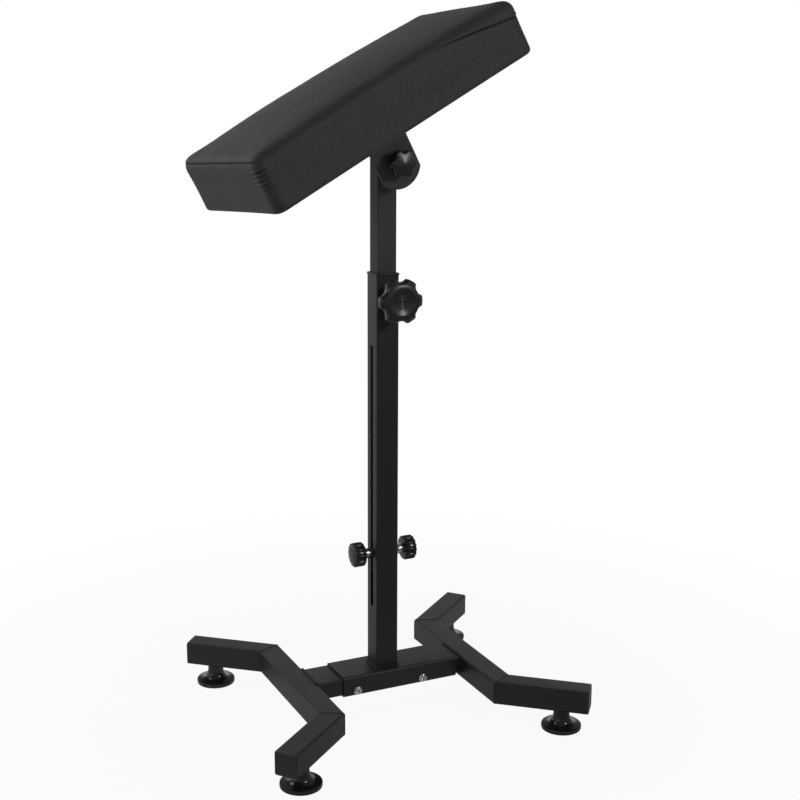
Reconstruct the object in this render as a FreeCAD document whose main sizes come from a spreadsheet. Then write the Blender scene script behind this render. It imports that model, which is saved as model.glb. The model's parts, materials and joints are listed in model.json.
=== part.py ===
"""Padded arm rest stand for a tattoo studio: a steel base on levelling feet, a height-adjustable
post, and a tilting padded rest.

Millimetres. The origin is on the floor under the column, +X runs along the base sleeve, -Y is the
side with the height knob, and +Z is up. The stand is drawn as photographed: the mast part-raised,
the pad tilted with its +X end high.
"""
import FreeCAD, Part
import os
import re
import Sketcher

V = FreeCAD.Vector

# Driving dimensions, in millimetres and degrees
DIMENSIONS = {
    # Legs: a straight tube along Y with an arm mitred to each end
    "tube_side": 30,
    "tube_wall": 1.5,
    "tube_corner": 2.5,
    "leg_underside": 27.2,
    "leg_spread": 117.5,
    "leg_half_span": 107,
    "arm_angle": 40,
    "arm_length": 110,
    "cap_plate": 3,
    "cap_corner": 1.2,
    "plug_depth": 10,
    "plug_gap": 0.1,
    # Levelling feet
    "foot_inset": 35.6,
    "foot_radius": 25.2,
    "foot_lip": 5.9,
    "foot_shoulder": 10,
    "foot_edge": 1.2,
    "foot_neck_radius": 10,
    "foot_neck_height": 4,
    "foot_floor": 5,
    "foot_gap": 0.2,
    "foot_screw_radius": 4,
    "foot_screw_rise": 24,
    "foot_nut_across": 13,
    "foot_nut_height": 8,
    # Sleeve that joins the legs, and the stubs inside it
    "sleeve_width": 55,
    "sleeve_height": 26.5,
    "sleeve_wall": 2,
    "sleeve_corner": 3,
    "sleeve_underside": 32.1,
    "sleeve_left_reach": 66.5,
    "sleeve_right_reach": 94,
    "sleeve_gap": 0.2,
    "stub_wall": 2,
    "stub_inner_reach": 20,
    "left_bolt_reach": 47.4,
    "right_bolt_reach": 45,
    "sleeve_bolt_drop": 6,
    "sleeve_bolt_radius": 2.5,
    "sleeve_bolt_head_radius": 6,
    "sleeve_bolt_head_height": 3.4,
    "sleeve_bolt_length": 14,
    "sleeve_bolt_socket_across": 4,
    "sleeve_bolt_socket_depth": 2,
    "weld_leg": 3,
    # Outer column, its slots and its guide bush
    "column_length": 508.4,
    "slot_width": 7.5,
    "slot_start": 79.4,
    "slot_top_margin": 87,
    "bush_lip": 2.6,
    "bush_overhang": 0.8,
    "bush_edge": 1,
    "bush_depth": 20,
    "bush_gap": 0.05,
    "mast_gap": 0.15,
    # Mast, its end fittings and the clamp through the slots
    "mast_side": 25,
    "mast_wall": 1.5,
    "mast_corner": 2,
    "mast_length": 528,
    "mast_lift": 131.4,
    "guide_plate": 4,
    "guide_gap": 0.15,
    "mast_cap_plate": 2,
    "clamp_rise": 21,
    "clamp_bolt_radius": 3,
    "clamp_bolt_reach": 38,
    "clamp_face_gap": 0.2,
    "ferrule_radius": 6.5,
    "ferrule_edge": 0.6,
    "ferrule_spigot_radius": 5,
    "ferrule_spigot_length": 8,
    "grip_start": 28,
    "grip_radius": 15.5,
    "grip_length": 14,
    "grip_flute_depth": 1.6,
    "grip_edge": 1,
    "grip_dome": 2,
    # Height screw on the column's front face
    "height_screw_drop": 26.5,
    "screw_radius": 5,
    "screw_nut_across": 17,
    "screw_nut_height": 8,
    "screw_tip_gap": 0.3,
    "screw_end_reach": 50,
    "star_face_reach": 58,
    "star_radius": 28,
    "star_notch_depth": 5.5,
    "star_rim_height": 13,
    "star_hub_radius": 11,
    "star_hub_reach": 26,
    "star_edge": 3,
    "star_dish_radius": 15,
    "star_dish_depth": 2,
    # Tilt joint at the top of the mast
    "pivot_drop": 15,
    "boss_radius": 12,
    "face_gap": 0.2,
    "tilt_bolt_head_height": 6.5,
    "tilt_bolt_reach": 56,
    "tilt_washer_radius": 11,
    "tilt_washer_thick": 2,
    "insert_radius": 7.5,
    "insert_proud": 1.5,
    "tilt_knob_reach": 62,
    "tilt_knob_radius": 16.5,
    "tilt_knob_notch_depth": 2.6,
    "tilt_knob_collar_radius": 10,
    "tilt_knob_collar_height": 5,
    "tilt_knob_edge": 2.5,
    # Bracket under the pad
    "ear_offset": 38,
    "plate_thick": 4,
    "ear_width": 52.6,
    "ear_round": 31,
    "pad_rise": 40,
    "flange_length": 98,
    "flange_depth": 76,
    "flange_corner": 8,
    "bend_radius": 4,
    "pad_screw_ring_radius": 42,
    "pad_screw_angle": 30,
    "pad_slot_half_angle": 10,
    "pad_slot_width": 7.2,
    "pad_screw_radius": 3,
    "pad_screw_length": 15,
    "pad_screw_head_across": 10,
    "pad_screw_head_height": 4,
    "pad_washer_radius": 8,
    "pad_washer_thick": 1.2,
    "tee_nut_radius": 4.2,
    "tee_nut_flange_radius": 9.5,
    "tee_nut_flange_thick": 1.2,
    "tee_nut_length": 9,
    # Pad
    "pad_tilt": 27.3,
    "pad_turn": 7.3,
    "pad_length": 391,
    "pad_width": 198,
    "pad_side_height": 68,
    "pad_arch": 4,
    "pad_crown": 5,
    "pad_top_round": 14,
    "pad_end_round": 12,
    "pad_draw_in": 2,
    "board_margin": 6,
    "board_thick": 12,
    "dust_cover_thick": 0.8,
    "soft_gap": 0.3,
    # Running clearances and the overrun of a cut past a face
    "thread_gap": 0.05,
    "hole_gap": 0.3,
    "overrun": 1,
}

# Places that follow from the dimensions
PLACES = {
    "leg_middle_height": "leg_underside + tube_side / 2",
    "sleeve_top": "sleeve_underside + sleeve_height",
    "sleeve_middle_height": "sleeve_underside + sleeve_height / 2",
    "stub_width": "sleeve_width - 2 * sleeve_wall - 2 * sleeve_gap",
    "stub_height": "sleeve_height - 2 * sleeve_wall - 2 * sleeve_gap",
    "stub_corner": "sleeve_corner / 2",
    "sleeve_bolt_height": "sleeve_middle_height - sleeve_bolt_drop",
    "column_top": "sleeve_top + column_length",
    "column_bore": "tube_side - 2 * tube_wall",
    "slot_length": "column_length - slot_start - slot_top_margin",
    "mast_foot": "sleeve_top + mast_lift",
    "mast_top": "mast_foot + mast_length",
    "mast_bore": "mast_side - 2 * mast_wall",
    "clamp_height": "mast_foot + clamp_rise",
    "height_screw_height": "column_top - height_screw_drop",
    "star_height": "star_face_reach - star_hub_reach",
    "pivot_height": "mast_top - pivot_drop",
    "ear_rear": "ear_offset - plate_thick",
    "tilt_washer_front": "ear_offset + face_gap + tilt_washer_thick",
    "insert_rear": "tilt_washer_front + face_gap",
    "tilt_knob_rear": "insert_rear + insert_proud",
    "tilt_knob_height": "tilt_knob_reach - tilt_knob_rear",
    "board_top": "dust_cover_thick + board_thick",
}

STAR_LOBES = 6
TILT_KNOB_LOBES = 6
GRIP_FLUTES = 14
LOBE_SHARE = 0.5
FLUTE_LAND_SHARE = 0.62
WELD_SLOPE = 42
# Stations of the cushion's sections, as shares of its end rounding and of its half length
END_ROUND_SHARES = (0, 0.08, 0.3, 0.62, 1)
MIDDLE_SHARES = (0.8, 0.55, 0.28, 0)
CROWN_POWER = 2
# How much of the end rounding's drop the cushion's width and its crown take, beside its height
END_WIDTH_SHARE = 0.5
END_CROWN_SHARE = 0.25
DIAGONAL_SHARE = 0.5 ** 0.5
# A shallow dome or dish at half its radius, and a bolt head's shoulder in radius and in height
BOW_SHARE = 0.75
HEAD_REACH_SHARE = 0.8
HEAD_RISE_SHARE = 0.82
# An edge is upright when its ends are this share of its length apart in height, and outer when its
# middle is past this share of the shape's half width
UPRIGHT_SHARE = 0.9
OUTER_SHARE = 0.9
# Two places nearer than this, in millimetres, are one
SAME_PLACE = 1e-4

doc = FreeCAD.newDocument("ArmRestStand")
sheet = doc.addObject("Spreadsheet::Sheet", "Sizes")
for row, (alias, amount) in enumerate(DIMENSIONS.items(), 1):
    sheet.set("A%d" % row, alias)
    sheet.set("B%d" % row, str(amount))
    sheet.setAlias("B%d" % row, alias)
doc.recompute()


def words(text):
    """A formula with its dimensions named on the sheet and its places written out."""
    def swap(match):
        word = match.group()
        if word in PLACES:
            return "(" + words(PLACES[word]) + ")"
        return "Sizes." + word if word in DIMENSIONS else word
    return re.sub(r"[a-z][a-z_]*", swap, text)


def number(text):
    """What a formula comes to now."""
    return float(sheet.evalExpression(words(text)))


def bind(thing, **formulas):
    """Tie properties of an object to formulas."""
    for name, formula in formulas.items():
        thing.setExpression(name.replace("__", "."), words(formula))


def shift(x="0", y="0", z="0"):
    return "placement(vector(%s; %s; %s); rotation(vector(0; 0; 1); 0))" % (x, y, z)


def spin(axis, angle):
    return "placement(vector(0; 0; 0); rotation(vector(%s); %s))" % (axis, angle)


ABOUT_X = "1; 0; 0"
ABOUT_Y = "0; 1; 0"
ABOUT_Z = "0; 0; 1"
LIE_TO_RIGHT = spin(ABOUT_Y, "90")
LIE_TO_LEFT = spin(ABOUT_Y, "-90")
LIE_TO_FRONT = spin(ABOUT_X, "90")
PIVOT_FRAME = shift(z="pivot_height") + " * " + spin(ABOUT_Y, "-pad_tilt")
PAD_FRAME = PIVOT_FRAME + " * " + shift(z="pad_rise") + " * " + spin(ABOUT_Z, "pad_turn")


def put(thing, *steps):
    """Place an object by a chain of shifts and turns, outermost first."""
    bind(thing, Placement=" * ".join(steps))
    return thing


def polar(radius, angle):
    """A sketch point at a radius and an angle in degrees, both as formulas."""
    return "(%s) * cos((%s) * 1deg)" % (radius, angle), "(%s) * sin((%s) * 1deg)" % (radius, angle)


def tie(drawing, ties):
    """Add constraints to a sketch together, then tie those that have a formula to it."""
    places = drawing.addConstraint([Sketcher.Constraint(*parts) for parts, formula in ties])
    for place, (parts, formula) in zip(places, ties):
        if formula:
            drawing.setExpression("Constraints[%d]" % place, words(formula))


def fixed(item, point, x, y):
    """Ties that hold one point of a sketch at its coordinates."""
    return [((kind, -1, 1, item, point, number(formula)), formula)
            for kind, formula in (("DistanceX", x), ("DistanceY", y))]


def add_circle(drawing, x, y, radius):
    centre = V(number(x), number(y), 0)
    item = drawing.addGeometry(Part.Circle(centre, V(0, 0, 1), number(radius)), False)
    tie(drawing, fixed(item, 3, x, y) + [(("Radius", item, number(radius)), radius)])


def add_outline(drawing, corners):
    """A closed outline. A corner is (x, y), or (x, y, x of mid, y of mid) where an arc follows it."""
    items = []
    ties = []
    for place, corner in enumerate(corners):
        following = corners[(place + 1) % len(corners)]
        start = V(number(corner[0]), number(corner[1]), 0)
        end = V(number(following[0]), number(following[1]), 0)
        if len(corner) == 2:
            items.append(drawing.addGeometry(Part.LineSegment(start, end), False))
            continue
        middle = V(number(corner[2]), number(corner[3]), 0)
        item = drawing.addGeometry(Part.Arc(start, middle, end), False)
        items.append(item)
        mark = drawing.addGeometry(Part.Point(middle), True)
        ties += fixed(mark, 1, corner[2], corner[3])
        ties.append((("PointOnObject", mark, 1, item), None))
    ends = [end_points(drawing, item, corner) for item, corner in zip(items, corners)]
    for place, corner in enumerate(corners):
        ties += fixed(items[place], ends[place][0], corner[0], corner[1])
        ties.append((("Coincident", items[place - 1], ends[place - 1][1], items[place], ends[place][0]), None))
    tie(drawing, ties)


def end_points(drawing, item, corner):
    """Which sketch points of an edge are its start and its end: an arc drawn clockwise swaps them."""
    start = drawing.getPoint(item, 1)
    wanted = V(number(corner[0]), number(corner[1]), 0)
    return (1, 2) if start.distanceToPoint(wanted) < drawing.getPoint(item, 2).distanceToPoint(wanted) \
        else (2, 1)


def new_body(label):
    made = doc.addObject("PartDesign::Body", label)
    made.Label = label
    return made


def new_sketch(owner, role, lift="0"):
    drawing = owner.newObject("Sketcher::SketchObject", owner.Name + "_sketch")
    plane = [item for item in owner.Origin.OriginFeatures if item.Role == role][0]
    drawing.AttachmentSupport = [(plane, "")]
    drawing.MapMode = "FlatFace"
    bind(drawing, AttachmentOffset__Base__z=lift)
    return drawing


def pad(owner, drawing, length):
    feature = owner.newObject("PartDesign::Pad", owner.Name + "_pad")
    feature.Profile = drawing
    bind(feature, Length=length)
    return feature


def dress_edges(owner, kind, wanted, **sizes):
    """Fillet or chamfer the edges of a body's last feature that pass a test."""
    base = owner.Tip
    base.recompute(True)
    names = ["Edge%d" % place for place, edge in enumerate(base.Shape.Edges, 1) if wanted(edge)]
    feature = owner.newObject("PartDesign::" + kind, owner.Name + "_" + kind.lower())
    feature.Base = (base, names)
    bind(feature, **sizes)
    return feature


def is_upright(edge):
    first, last = edge.Vertexes[0].Point, edge.Vertexes[-1].Point
    return abs(first.z - last.z) > UPRIGHT_SHARE * edge.Length


def rectangle(width, depth):
    half_width, half_depth = "(%s) / 2" % width, "(%s) / 2" % depth
    return [("-" + half_width, "-" + half_depth), (half_width, "-" + half_depth),
            (half_width, half_depth), ("-" + half_width, half_depth)]


def hexagon(across):
    return [polar("(%s) / 2 / cos(30deg)" % across, str(60 * side)) for side in range(6)]


def round_corners(owner, corner, width, depth):
    """Round the upright edges on a rectangle of this width and depth."""
    half_width, half_depth = number(width) / 2, number(depth) / 2

    def on_corner(edge):
        centre = edge.CenterOfMass
        return is_upright(edge) and abs(abs(centre.x) - half_width) < SAME_PLACE \
            and abs(abs(centre.y) - half_depth) < SAME_PLACE
    dress_edges(owner, "Fillet", on_corner, Radius=corner)


def tube(label, width, depth, wall, corner, length):
    """A rectangular tube that stands on its own XY plane."""
    made = new_body(label)
    drawing = new_sketch(made, "XY_Plane")
    add_outline(drawing, rectangle(width, depth))
    add_outline(drawing, rectangle("%s - 2 * %s" % (width, wall), "%s - 2 * %s" % (depth, wall)))
    pad(made, drawing, length)
    round_corners(made, corner, width, depth)
    inner_width, inner_depth = "%s - 2 * %s" % (width, wall), "%s - 2 * %s" % (depth, wall)
    round_corners(made, "%s / 2" % corner, inner_width, inner_depth)
    return made


def plugged_plate(label, side, plate, corner, bore, bore_corner):
    """A square plate with a plug on top of it that fits a tube's bore, for closing the tube's end."""
    made = new_body(label)
    drawing = new_sketch(made, "XY_Plane")
    add_outline(drawing, rectangle(side, side))
    pad(made, drawing, plate)
    round_corners(made, corner, side, side)
    plug = new_sketch(made, "XY_Plane", plate)
    plug_side = "%s - 2 * plug_gap" % bore
    add_outline(plug, rectangle(plug_side, plug_side))
    pad(made, plug, "plug_depth")
    round_corners(made, bore_corner, plug_side, plug_side)
    return made


def turned(label, corners):
    """A solid of revolution about its own Z axis, from corners given as radius and height."""
    made = new_body(label)
    drawing = new_sketch(made, "XZ_Plane")
    add_outline(drawing, corners)
    feature = made.newObject("PartDesign::Revolution", label + "_turn")
    feature.Profile = drawing
    feature.ReferenceAxis = (drawing, ["V_Axis"])
    feature.Angle = 360
    return made


def prism(label, outlines, length, circles=()):
    """A flat outline, with any holes, raised from its own XY plane."""
    made = new_body(label)
    drawing = new_sketch(made, "XY_Plane")
    for corners in outlines:
        add_outline(drawing, corners)
    for radius in circles:
        add_circle(drawing, "0", "0", radius)
    pad(made, drawing, length)
    return made


def rod(name, radius, length, *steps):
    made = doc.addObject("Part::Cylinder", name)
    bind(made, Radius=radius, Height=length)
    return put(made, *steps)


def block(name, width, depth, height, *steps):
    """A box centred on its own axis, standing on its own XY plane."""
    made = doc.addObject("Part::Box", name)
    bind(made, Length=width, Width=depth, Height=height)
    return put(made, *steps, shift("-(%s) / 2" % width, "-(%s) / 2" % depth))


def join(label, kind, first, tools):
    """Cut tools from a solid, or keep what it shares with one."""
    tool = tools[0]
    if len(tools) > 1:
        tool = doc.addObject("Part::MultiFuse", label + "_tools")
        tool.Shapes = list(tools)
    made = doc.addObject("Part::" + kind, label)
    made.Label = label
    made.Base = first
    made.Tool = tool
    return made


def cut(label, first, *tools):
    return join(label, "Cut", first, tools)


def common(label, first, second):
    return join(label, "Common", first, [second])


def together(label, pieces):
    made = doc.addObject("Part::Compound", label)
    made.Label = label
    made.Links = pieces
    return made


def lobed_outline(count, radius, notch, land_share):
    """Lobes of one radius with a hollow arc between each two of them."""
    step = 360 / count
    corners = []
    for lobe in range(count):
        start = lobe * step - step * land_share / 2
        end = lobe * step + step * land_share / 2
        corners.append(polar(radius, str(start)) + polar(radius, str(lobe * step)))
        corners.append(polar(radius, str(end)) + polar("%s - %s" % (radius, notch), str((lobe + 0.5) * step)))
    return corners


def nut(label, across, height, bore):
    return prism(label, [hexagon(across)], height, [bore])


kept = []


def keep(thing):
    kept.append(thing)
    return thing


# Legs: a middle tube and two arms, mitred at half the bend between them
def make_leg(name, side):
    arm_turn = {-1: "180 + arm_angle", 1: "-arm_angle"}[side]
    mitre = "(90 - arm_angle) / 2"
    blade = "4 * tube_side"
    corner_x = "leg_spread * %d" % side
    middle = put(
        tube(name + "_middle_blank", "tube_side", "tube_side", "tube_wall", "tube_corner",
             "2 * leg_half_span + 2 * tube_side"),
        shift(corner_x, "leg_half_span + tube_side", "leg_middle_height"), LIE_TO_FRONT)
    ends = []
    for end_name, end in (("front", -1), ("rear", 1)):
        corner = shift(corner_x, "leg_half_span * %d" % end, "leg_middle_height - 2 * tube_side")
        lean = spin(ABOUT_Z, "%d * %s" % (-side * end, mitre))
        outward = shift(y="%d * 2 * tube_side" % end)
        ends.append(block("%s_%s_saw" % (name, end_name), blade, blade, blade, corner, lean, outward))
        turn = spin(ABOUT_Z, arm_turn if end < 0 else "-(%s)" % arm_turn)
        back = shift("-tube_side")
        arm = put(
            tube("%s_%s_arm_blank" % (name, end_name), "tube_side", "tube_side", "tube_wall",
                 "tube_corner", "arm_length + tube_side"),
            shift(corner_x, "leg_half_span * %d" % end, "leg_middle_height"), turn, back, LIE_TO_RIGHT)
        inward = shift(y="%d * 2 * tube_side" % -end)
        saw = block("%s_%s_arm_saw" % (name, end_name), blade, blade, blade, corner, lean, inward)
        foot_hole = rod("%s_%s_foot_hole" % (name, end_name), "foot_screw_radius + hole_gap",
                        "tube_wall + 2 * overrun",
                        shift(corner_x, "leg_half_span * %d" % end, "leg_underside - overrun"), turn,
                        shift("arm_length + cap_plate - foot_inset"))
        keep(cut("%s_%s_arm" % (name, end_name), arm, saw, foot_hole))
        cap = plugged_plate("%s_%s_end_cap" % (name, end_name), "tube_side", "cap_plate", "tube_corner",
                            "column_bore", "tube_corner / 2")
        dress_edges(cap, "Fillet", lambda edge: abs(edge.CenterOfMass.z) < SAME_PLACE,
                    Radius="cap_corner")
        keep(put(cap, shift(corner_x, "leg_half_span * %d" % end, "leg_middle_height"), turn,
                 shift("arm_length + cap_plate"), LIE_TO_LEFT))
        make_foot(name + "_" + end_name, corner_x, "leg_half_span * %d" % end, turn)
    keep(cut(name + "_middle", middle, *ends))


def make_foot(name, corner_x, corner_y, turn):
    """A turned plastic glide on a threaded stud, and the nut in the leg that carries it."""
    top = "leg_underside - foot_gap"
    waist = "foot_neck_radius + foot_edge"
    stem = "foot_screw_radius + thread_gap"
    profile = [
        ("0", "0"), ("foot_radius - foot_edge", "0"), ("foot_radius", "foot_edge"),
        ("foot_radius", "foot_lip - foot_edge"),
        ("foot_radius - foot_edge", "foot_lip", waist + " + foot_edge", "foot_shoulder"),
        ("foot_neck_radius", top + " - foot_neck_height"), ("foot_neck_radius", top),
        (stem, top), (stem, "foot_floor"), ("0", "foot_floor")]
    stance = (shift(corner_x, corner_y), turn, shift("arm_length + cap_plate - foot_inset"))
    keep(put(turned(name + "_foot", profile), *stance))
    stud = rod(name + "_foot_screw", "foot_screw_radius", "leg_underside + foot_screw_rise - foot_floor",
               *stance, shift(z="foot_floor"))
    stud.Label = name + "_foot_screw"
    keep(stud)
    seat = nut(name + "_foot_nut", "foot_nut_across", "foot_nut_height", stem)
    foot_nuts.append(put(seat, *stance, shift(z="leg_underside + tube_wall")))


foot_nuts = []
for leg_name, leg_side in (("left_leg", -1), ("right_leg", 1)):
    make_leg(leg_name, leg_side)
keep(together("foot_nuts", foot_nuts))


# Sleeve and the two stubs that slide into it
def weld_bead(label, width, depth, *steps):
    """A fillet weld round a rectangular tube, standing on the face it joins."""
    blank = new_body(label + "_blank")
    drawing = new_sketch(blank, "XY_Plane")
    add_outline(drawing, rectangle("%s + 2 * weld_leg" % width, "%s + 2 * weld_leg" % depth))
    slope = pad(blank, drawing, "weld_leg")
    slope.TaperAngle = -WELD_SLOPE
    inside = block(label + "_inside", width, depth, "weld_leg + 2 * overrun", shift(z="-overrun"))
    return put(cut(label, blank, inside), *steps)


def make_sleeve():
    blank = put(tube("sleeve_blank", "sleeve_height", "sleeve_width", "sleeve_wall", "sleeve_corner",
                     "sleeve_left_reach + sleeve_right_reach"),
                shift("-sleeve_left_reach", z="sleeve_middle_height"), LIE_TO_RIGHT)
    holes = []
    for side_name, reach in (("left", "-left_bolt_reach"), ("right", "right_bolt_reach")):
        holes.append(rod(side_name + "_sleeve_hole", "sleeve_bolt_radius + hole_gap",
                         "sleeve_wall + 2 * overrun",
                         shift(reach, "-sleeve_width / 2 + sleeve_wall + overrun", "sleeve_bolt_height"),
                         LIE_TO_FRONT))
    keep(cut("sleeve", blank, *holes))
    bolts = []
    beads = []
    for side_name, side, reach in (("left", -1, "left_bolt_reach"), ("right", 1, "right_bolt_reach")):
        stub = put(tube(side_name + "_stub_blank", "stub_height", "stub_width", "stub_wall", "stub_corner",
                        "leg_spread - tube_side / 2 - stub_inner_reach"),
                   shift("stub_inner_reach * %d" % side, z="sleeve_middle_height"),
                   LIE_TO_RIGHT if side > 0 else LIE_TO_LEFT)
        front = "%d * %s" % (side, reach)
        hole = rod(side_name + "_stub_hole", "sleeve_bolt_radius + thread_gap", "stub_wall + 2 * overrun",
                   shift(front, "-stub_width / 2 + stub_wall + overrun", "sleeve_bolt_height"), LIE_TO_FRONT)
        keep(cut(side_name + "_stub", stub, hole))
        bolts.append(make_sleeve_bolt(side_name, front))
        beads.append(weld_bead(side_name + "_stub_bead", "stub_height", "stub_width",
                               shift("%d * (leg_spread - tube_side / 2)" % side, z="sleeve_middle_height"),
                               LIE_TO_LEFT if side > 0 else LIE_TO_RIGHT))
    keep(together("sleeve_bolts", bolts))
    keep(together("stub_welds", beads))


def make_sleeve_bolt(side_name, front):
    """A round-headed socket bolt that lies across the sleeve's front wall."""
    head, shank = "sleeve_bolt_head_radius", "sleeve_bolt_radius"
    shape = turned(side_name + "_bolt_blank", [
        ("0", "-sleeve_bolt_length"), (shank, "-sleeve_bolt_length"), (shank, "0"), (head, "0"),
        (head, "sleeve_bolt_head_height / 4",
         "%s * %s" % (head, HEAD_REACH_SHARE), "sleeve_bolt_head_height * %s" % HEAD_RISE_SHARE),
        (head + " / 2", "sleeve_bolt_head_height"), ("0", "sleeve_bolt_head_height")])
    socket = put(prism(side_name + "_bolt_socket", [hexagon("sleeve_bolt_socket_across")],
                       "sleeve_bolt_socket_depth + overrun"),
                 shift(z="sleeve_bolt_head_height - sleeve_bolt_socket_depth"))
    return put(cut(side_name + "_bolt", shape, socket),
               shift(front, "-sleeve_width / 2", "sleeve_bolt_height"), LIE_TO_FRONT)


make_sleeve()


# Outer column with a slot in each side face, its weld, its guide bush and the height nut
def make_column():
    blank = put(tube("column_blank", "tube_side", "tube_side", "tube_wall", "tube_corner", "column_length"),
                shift(z="sleeve_top"))
    across = "tube_side + 2 * overrun"
    straight = block("slot_straight", across, "slot_width", "slot_length - slot_width",
                     shift(z="sleeve_top + slot_start + slot_width / 2"))
    ends = [rod("slot_" + end_name, "slot_width / 2", across,
                shift("-(%s) / 2" % across, z="sleeve_top + slot_start + " + height), LIE_TO_RIGHT)
            for end_name, height in (("foot", "slot_width / 2"), ("head", "slot_length - slot_width / 2"))]
    screw_hole = rod("column_screw_hole", "screw_radius + hole_gap", "tube_wall + 2 * overrun",
                     shift(y="-tube_side / 2 + tube_wall + overrun", z="height_screw_height"), LIE_TO_FRONT)
    keep(cut("outer_column", blank, straight, ends[0], ends[1], screw_hole))
    keep(weld_bead("column_weld", "tube_side", "tube_side", shift(z="sleeve_top")))
    bush = new_body("guide_bush")
    bore = "mast_side + 2 * mast_gap"
    lip_side = "tube_side + 2 * bush_overhang"
    lip = new_sketch(bush, "XY_Plane")
    add_outline(lip, rectangle(lip_side, lip_side))
    add_outline(lip, rectangle(bore, bore))
    pad(bush, lip, "bush_lip")
    round_corners(bush, "tube_corner + bush_overhang", lip_side, lip_side)
    top = number("bush_lip")
    reach = number(lip_side) / 2 * OUTER_SHARE
    dress_edges(bush, "Fillet", lambda edge: abs(edge.CenterOfMass.z - top) < SAME_PLACE
                and max(abs(edge.CenterOfMass.x), abs(edge.CenterOfMass.y)) > reach, Radius="bush_edge")
    skirt = new_sketch(bush, "XY_Plane", "-bush_depth")
    outside = "column_bore - 2 * bush_gap"
    add_outline(skirt, rectangle(outside, outside))
    add_outline(skirt, rectangle(bore, bore))
    pad(bush, skirt, "bush_depth")
    round_corners(bush, "tube_corner / 2", outside, outside)
    keep(put(bush, shift(z="column_top")))
    seat = nut("height_nut", "screw_nut_across", "screw_nut_height", "screw_radius + thread_gap")
    keep(put(seat, shift(y="-tube_side / 2", z="height_screw_height"), LIE_TO_FRONT))


make_column()


# Height screw: a threaded stud that bears on the mast, and its star knob
def star_knob(label, lobes, radius, notch, height, hub_radius, hub_height, edge, dish_radius, dish_depth,
              bore_radius, bore_depth):
    """A lobed knob that stands on its hub, with a dished face and a blind bore."""
    body_height = "(%s) - (%s)" % (height, hub_height)
    prism_piece = prism(label + "_lobes", [lobed_outline(lobes, radius, notch, LOBE_SHARE)], height)
    profile = [
        (bore_radius, "0"), (hub_radius, "0"), (hub_radius, hub_height),
        ("%s - %s" % (radius, edge), hub_height,
         "%s - %s * %s" % (radius, edge, 1 - DIAGONAL_SHARE),
         "%s + %s * %s" % (hub_height, edge, 1 - DIAGONAL_SHARE)),
        (radius, "%s + %s" % (hub_height, edge)),
        (radius, "%s - %s" % (height, edge), "%s - %s * %s" % (radius, edge, 1 - DIAGONAL_SHARE),
         "%s - %s * %s" % (height, edge, 1 - DIAGONAL_SHARE)),
        ("%s - %s" % (radius, edge), height)]
    if dish_radius:
        profile += [(dish_radius, height, "(%s) / 2" % dish_radius,
                     "%s - %s * %s" % (height, dish_depth, BOW_SHARE)),
                    ("0", "%s - %s" % (height, dish_depth))]
    else:
        profile += [("0", height)]
    profile += [("0", bore_depth), (bore_radius, bore_depth)]
    turned_piece = turned(label + "_turning", profile)
    return common(label, prism_piece, turned_piece)


def make_height_screw():
    stance = (shift(z="height_screw_height"), LIE_TO_FRONT)
    length = "screw_end_reach - mast_side / 2 - screw_tip_gap"
    stud = rod("height_screw", "screw_radius", length, *stance,
               shift(z="mast_side / 2 + screw_tip_gap"))
    stud.Label = "height_screw"
    keep(stud)
    knob = star_knob("height_knob", STAR_LOBES, "star_radius", "star_notch_depth", "star_height",
                     "star_hub_radius", "star_height - star_rim_height", "star_edge", "star_dish_radius",
                     "star_dish_depth", "screw_radius + thread_gap", "screw_end_reach - star_hub_reach")
    keep(put(knob, *stance, shift(z="star_hub_reach")))


make_height_screw()


# Mast with its end fittings, and the clamp bolt that rides in the slots
def make_mast():
    blank = put(tube("mast_blank", "mast_side", "mast_side", "mast_wall", "mast_corner", "mast_length"),
                shift(z="mast_foot"))
    clamp_hole = rod("mast_clamp_hole", "clamp_bolt_radius + thread_gap", "mast_side + 2 * overrun",
                     shift("-mast_side / 2 - overrun", z="clamp_height"), LIE_TO_RIGHT)
    tilt_hole = rod("mast_tilt_hole", "screw_radius + thread_gap", "mast_side + 2 * overrun",
                    shift(y="mast_side / 2 + overrun", z="pivot_height"), LIE_TO_FRONT)
    keep(cut("mast", blank, clamp_hole, tilt_hole))
    guide = plugged_plate("mast_guide", "column_bore - 2 * guide_gap", "guide_plate", "mast_corner / 2",
                          "mast_bore", "mast_corner / 2")
    keep(put(guide, shift(z="mast_foot - guide_plate")))
    cap = plugged_plate("mast_cap", "mast_side", "mast_cap_plate", "mast_corner", "mast_bore",
                        "mast_corner / 2")
    keep(put(cap, shift(z="mast_top + mast_cap_plate"), spin(ABOUT_X, "180")))
    bolt = rod("clamp_bolt", "clamp_bolt_radius", "2 * clamp_bolt_reach",
               shift("-clamp_bolt_reach", z="clamp_height"), LIE_TO_RIGHT)
    bolt.Label = "clamp_bolt"
    keep(bolt)
    for side_name, lie in (("left", LIE_TO_LEFT), ("right", LIE_TO_RIGHT)):
        make_clamp_knob(side_name, lie)


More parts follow.
